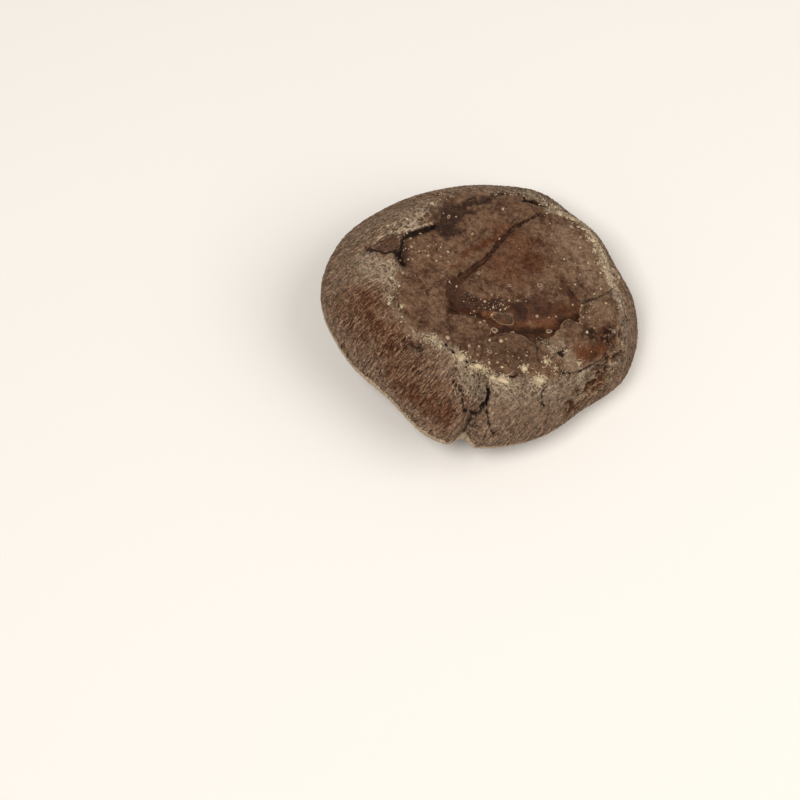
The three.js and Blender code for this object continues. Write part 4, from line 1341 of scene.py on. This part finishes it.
def makeGills():
    chance = random.Random(gills["seed"])
    points, faces = [], []
    shares = np.linspace(0, 1, gills["steps"])
    edgeShares, edgeLevels = zip(*gills["edge"])
    pitch = math.pi / gills["pairs"]
    order = [0, 2, 4, 6, 8, 9, 7, 5, 3, 1]     # the leaf's ten long edges, one side down and the other up
    n, m = gills["steps"], len(order)
    i, j = np.meshgrid(np.arange(m), np.arange(n - 1), indexing="ij")
    for k in range(2 * gills["pairs"]):
        isShort = k % 2 == 1
        start = chance.uniform(*gills["shortStart"]) if isShort else 0.0
        own = start + (1 - start) * shares
        phase, slant = chance.uniform(0, 6.3), chance.uniform(-gills["slant"], gills["slant"])
        ripple = gills["wave"] * np.sin(own * chance.uniform(7, 12) + phase) * (0.4 + 0.6 * own)
        angle = (k + chance.uniform(-0.12, 0.12)) * pitch + np.zeros_like(own)
        reach, roof = gillRoof(angle, own)
        level = np.interp(own, edgeShares, edgeLevels) + chance.uniform(-0.25, 0.25)
        if isShort:
            grown = smooth(own, start, start + 0.16) * chance.uniform(*gills["shortDepth"])
            level = roof - (roof - level) * grown
        level += 0.12 * np.sin(own * 40 + phase)
        rows = []
        for drop, thick in gills["leaf"]:
            z = mix(roof, level, drop)
            sway = ripple * drop + slant * (roof - level) * drop
            for side in (-1, 1):
                turn = angle + (sway + side * gills["halfThick"] * thick) / reach
                rows.append(np.column_stack([reach[:, None] * ways(turn), z]))
        base = k * m * n
        points.append(np.concatenate([rows[row] for row in order]))
        a, b = base + i * n + j, base + ((i + 1) % m) * n + j
        faces += np.stack([a, a + 1, b + 1, b], axis=-1).reshape(-1, 4).tolist()
        faces.append([base + row * n for row in range(m)])
        faces.append([base + (m - 1 - row) * n + n - 1 for row in range(m)])
    piece = pieceFrom("gillLeaves", toRow(np.concatenate(points)), faces)
    deselectAll()
    bpy.context.view_layer.objects.active = piece
    piece.select_set(True)
    bpy.ops.object.mode_set(mode="EDIT")
    faceOutwards()
    return piece


def makeGillPlate():           # the thin plate of flesh that the leaves hang from
    shares = [0, 0.25, 0.5, 0.72, 0.88, 1, 1, 0.88, 0.72, 0.5, 0.25, 0]
    piece = ringStack("gillPlate", 180, len(shares) + 1)
    raw = vertsOf(piece)
    angle = np.arctan2(raw[:, 1], raw[:, 0])
    ring = np.round(raw[:, 2]).astype(int) % len(shares)
    reach, level = gillRoof(angle, np.array(shares)[ring])
    level = np.where(ring > 5, level - gills["plate"] * np.where(ring == 6, 0.6, 1), level)
    placeVerts(piece, toRow(np.column_stack([reach[:, None] * ways(angle), level])))
    bpy.ops.object.mode_set(mode="EDIT")
    bpy.ops.mesh.select_all(action="SELECT")
    bpy.ops.mesh.remove_doubles(threshold=1e-6)
    faceOutwards()
    return piece


def makeGillMaterial():
    material, tree, shader = newMaterial("gillFlesh", 0.8)
    spot = objectSpot(tree)
    tone, height = grainNode(tree, spot, 1600, 0.25)
    colour = blend(tree, cloud(tree, spot, "gillWarmth"), tint(206, 178, 146), tint(174, 137, 104))
    colour = blend(tree, cloud(tree, spot, "gillSpots"), colour, tint(128, 90, 64))
    dress(tree, shader, colour, tone, height, 0.0002, 0.5)
    return material


gillMaterial = makeGillMaterial()
gillLeaves, gillPlate = makeGills(), makeGillPlate()
for piece in (gillLeaves, gillPlate):
    finishPiece(piece, gillMaterial)
    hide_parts("gills")
print("gills done")


# Stem: tough, fibrous and cut off level with the table
stem = {
    "sides": 132, "rings": 64,
    # share of the way down, and radius
    "outline": [
        (0, 5.2), (0.03, 6.8), (0.08, 7.4), (0.2, 7.3), (0.34, 6.9), (0.5, 6.5), (0.64, 6.4), (0.78, 6.8),
        (0.89, 7.5), (0.96, 7.8), (1, 7.3),
    ],
    "ridge": 0.16, "bend": cap["footShift"], "topGap": 0.6, "insets": (0.3, 0.3, 0.25),
    "twist": 0.5, "grain": 8, "grainLength": 3.4, "cutRough": 0.12,
}


def makeStem():
    piece = ringStack("stemFlesh", stem["sides"], stem["rings"])
    bpy.ops.object.mode_set(mode="EDIT")
    bpy.ops.mesh.select_mode(type="EDGE")
    bpy.ops.mesh.select_all(action="DESELECT")
    bpy.ops.mesh.select_non_manifold()
    bpy.ops.mesh.edge_face_add()
    bpy.ops.mesh.select_mode(type="FACE")
    bpy.ops.mesh.select_all(action="DESELECT")
    bpy.ops.mesh.select_face_by_sides(number=stem["sides"])
    for inward in stem["insets"]:
        bpy.ops.mesh.inset(thickness=inward, use_individual=True)
    bpy.ops.mesh.poke()
    faceOutwards()
    raw = vertsOf(piece)
    angle = np.arctan2(raw[:, 1], raw[:, 0])
    inward = np.minimum(np.linalg.norm(raw[:, :2], axis=1), 1)
    down = 1 - raw[:, 2] / (stem["rings"] - 1)
    radius = np.interp(down, *zip(*stem["outline"]))
    around = np.column_stack([stem["grain"] * ways(angle + stem["twist"] * down), stem["grainLength"] * down])
    ridges = grainAt(around, 1.1, 7, 3) * smooth(down, 0.02, 0.2)
    bend = smooth(down, 0.25, 1)
    fibres = 1 + 0.035 * np.sin(5 * angle + 3 * down) * smooth(down, 0.25, 0.5)
    reach = (radius * fibres + stem["ridge"] * ridges) * inward
    x = stem["bend"][0] * bend + reach * np.cos(angle)
    y = stem["bend"][1] * bend + reach * np.sin(angle)
    top = cap["flesh"] - stem["topGap"]
    points = np.stack([x, y, mix(top, floorAt(x, y), down)], axis=1)
    cut = (down > 0.999) & (inward < 0.98)
    points[cut, 2] += stem["cutRough"] * (1 + grainAt(points[cut], 1.3, 9, 3))
    row = toRow(points)
    row[:, 2] = np.maximum(row[:, 2], 0)
    placeVerts(piece, row)
    setVectors(piece, "fibre", around)
    setMask(piece, "cutEnd", cut)
    return piece


def makeStemMaterial():
    material, tree, shader = newMaterial("stemFlesh", 0.85)
    spot = objectSpot(tree)
    strand = attribute(tree, "fibre", "Vector")
    tone, height = grainNode(tree, spot, 1500, 0.3)
    strokes = noiseOf(tree, strand, 1.9, 3, 0.6, 0.3)
    colour = blend(tree, remap(tree, strokes, 0.36, 0.62), tint(132, 103, 77), tint(188, 162, 130))
    colour = blend(tree, cloud(tree, spot, "stemSpots"), colour, tint(128, 92, 64))
    cutEnd = attribute(tree, "cutEnd")
    pores = blend(tree, cloud(tree, spot, "pores"), tint(160, 130, 98), tint(196, 168, 134))
    colour = blend(tree, cutEnd, colour, pores)
    grooves = times(tree, strokes, remap(tree, cutEnd, 0, 1, 0.6, 0))
    raised = maths(tree, "ADD", times(tree, height, 0.3), grooves)
    dress(tree, shader, colour, tone, raised, 0.0005, 0.8)
    return material


stemPiece = makeStem()
finishPiece(stemPiece, makeStemMaterial())
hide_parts("stem")
print("stem done")


# Floor, light and backdrop colour
studio = {
    "floor": tint(226, 222, 216), "floorSize": 6, "world": (0.9, 0.9, 0.9, 1), "worldStrength": 0.42,
    "aim": (0, 0, 0.02),
    # lamps: name, place, size, power and colour
    "lamps": [
        ("key", (-0.24, -0.2, 0.78), 0.3, 4.2, (1, 0.97, 0.93)),
        ("fill", (0.46, -0.12, 0.6), 0.6, 3.4, (1, 0.98, 0.95)),
    ],
}


def areaLight(name, place, size, power, colour):
    data = bpy.data.lights.new(name, "AREA")
    data.size = size
    data.energy = power
    data.color = colour
    lamp = bpy.data.objects.new(name, data)
    scene.collection.objects.link(lamp)
    lamp.location = place
    lamp.rotation_euler = (Vector(studio["aim"]) - Vector(place)).to_track_quat("-Z", "Y").to_euler()


def makeStudio():
    deselectAll()
    bpy.ops.mesh.primitive_plane_add(size=studio["floorSize"], location=(0, 0, 0))
    floor = bpy.context.object
    floor.name = "floor"
    material, tree, shader = newMaterial("paleFloor", 0.9, 0.2)
    shader.inputs["Base Color"].default_value = studio["floor"]
    floor.data.materials.append(material)
    world = bpy.data.worlds.new("studio")
    world.use_nodes = True
    background = world.node_tree.nodes["Background"]
    background.inputs["Color"].default_value = studio["world"]
    background.inputs["Strength"].default_value = studio["worldStrength"]
    scene.world = world
    for lamp in studio["lamps"]:
        areaLight(*lamp)
    scene.view_settings.view_transform = "Standard"


makeStudio()
print("studio set")
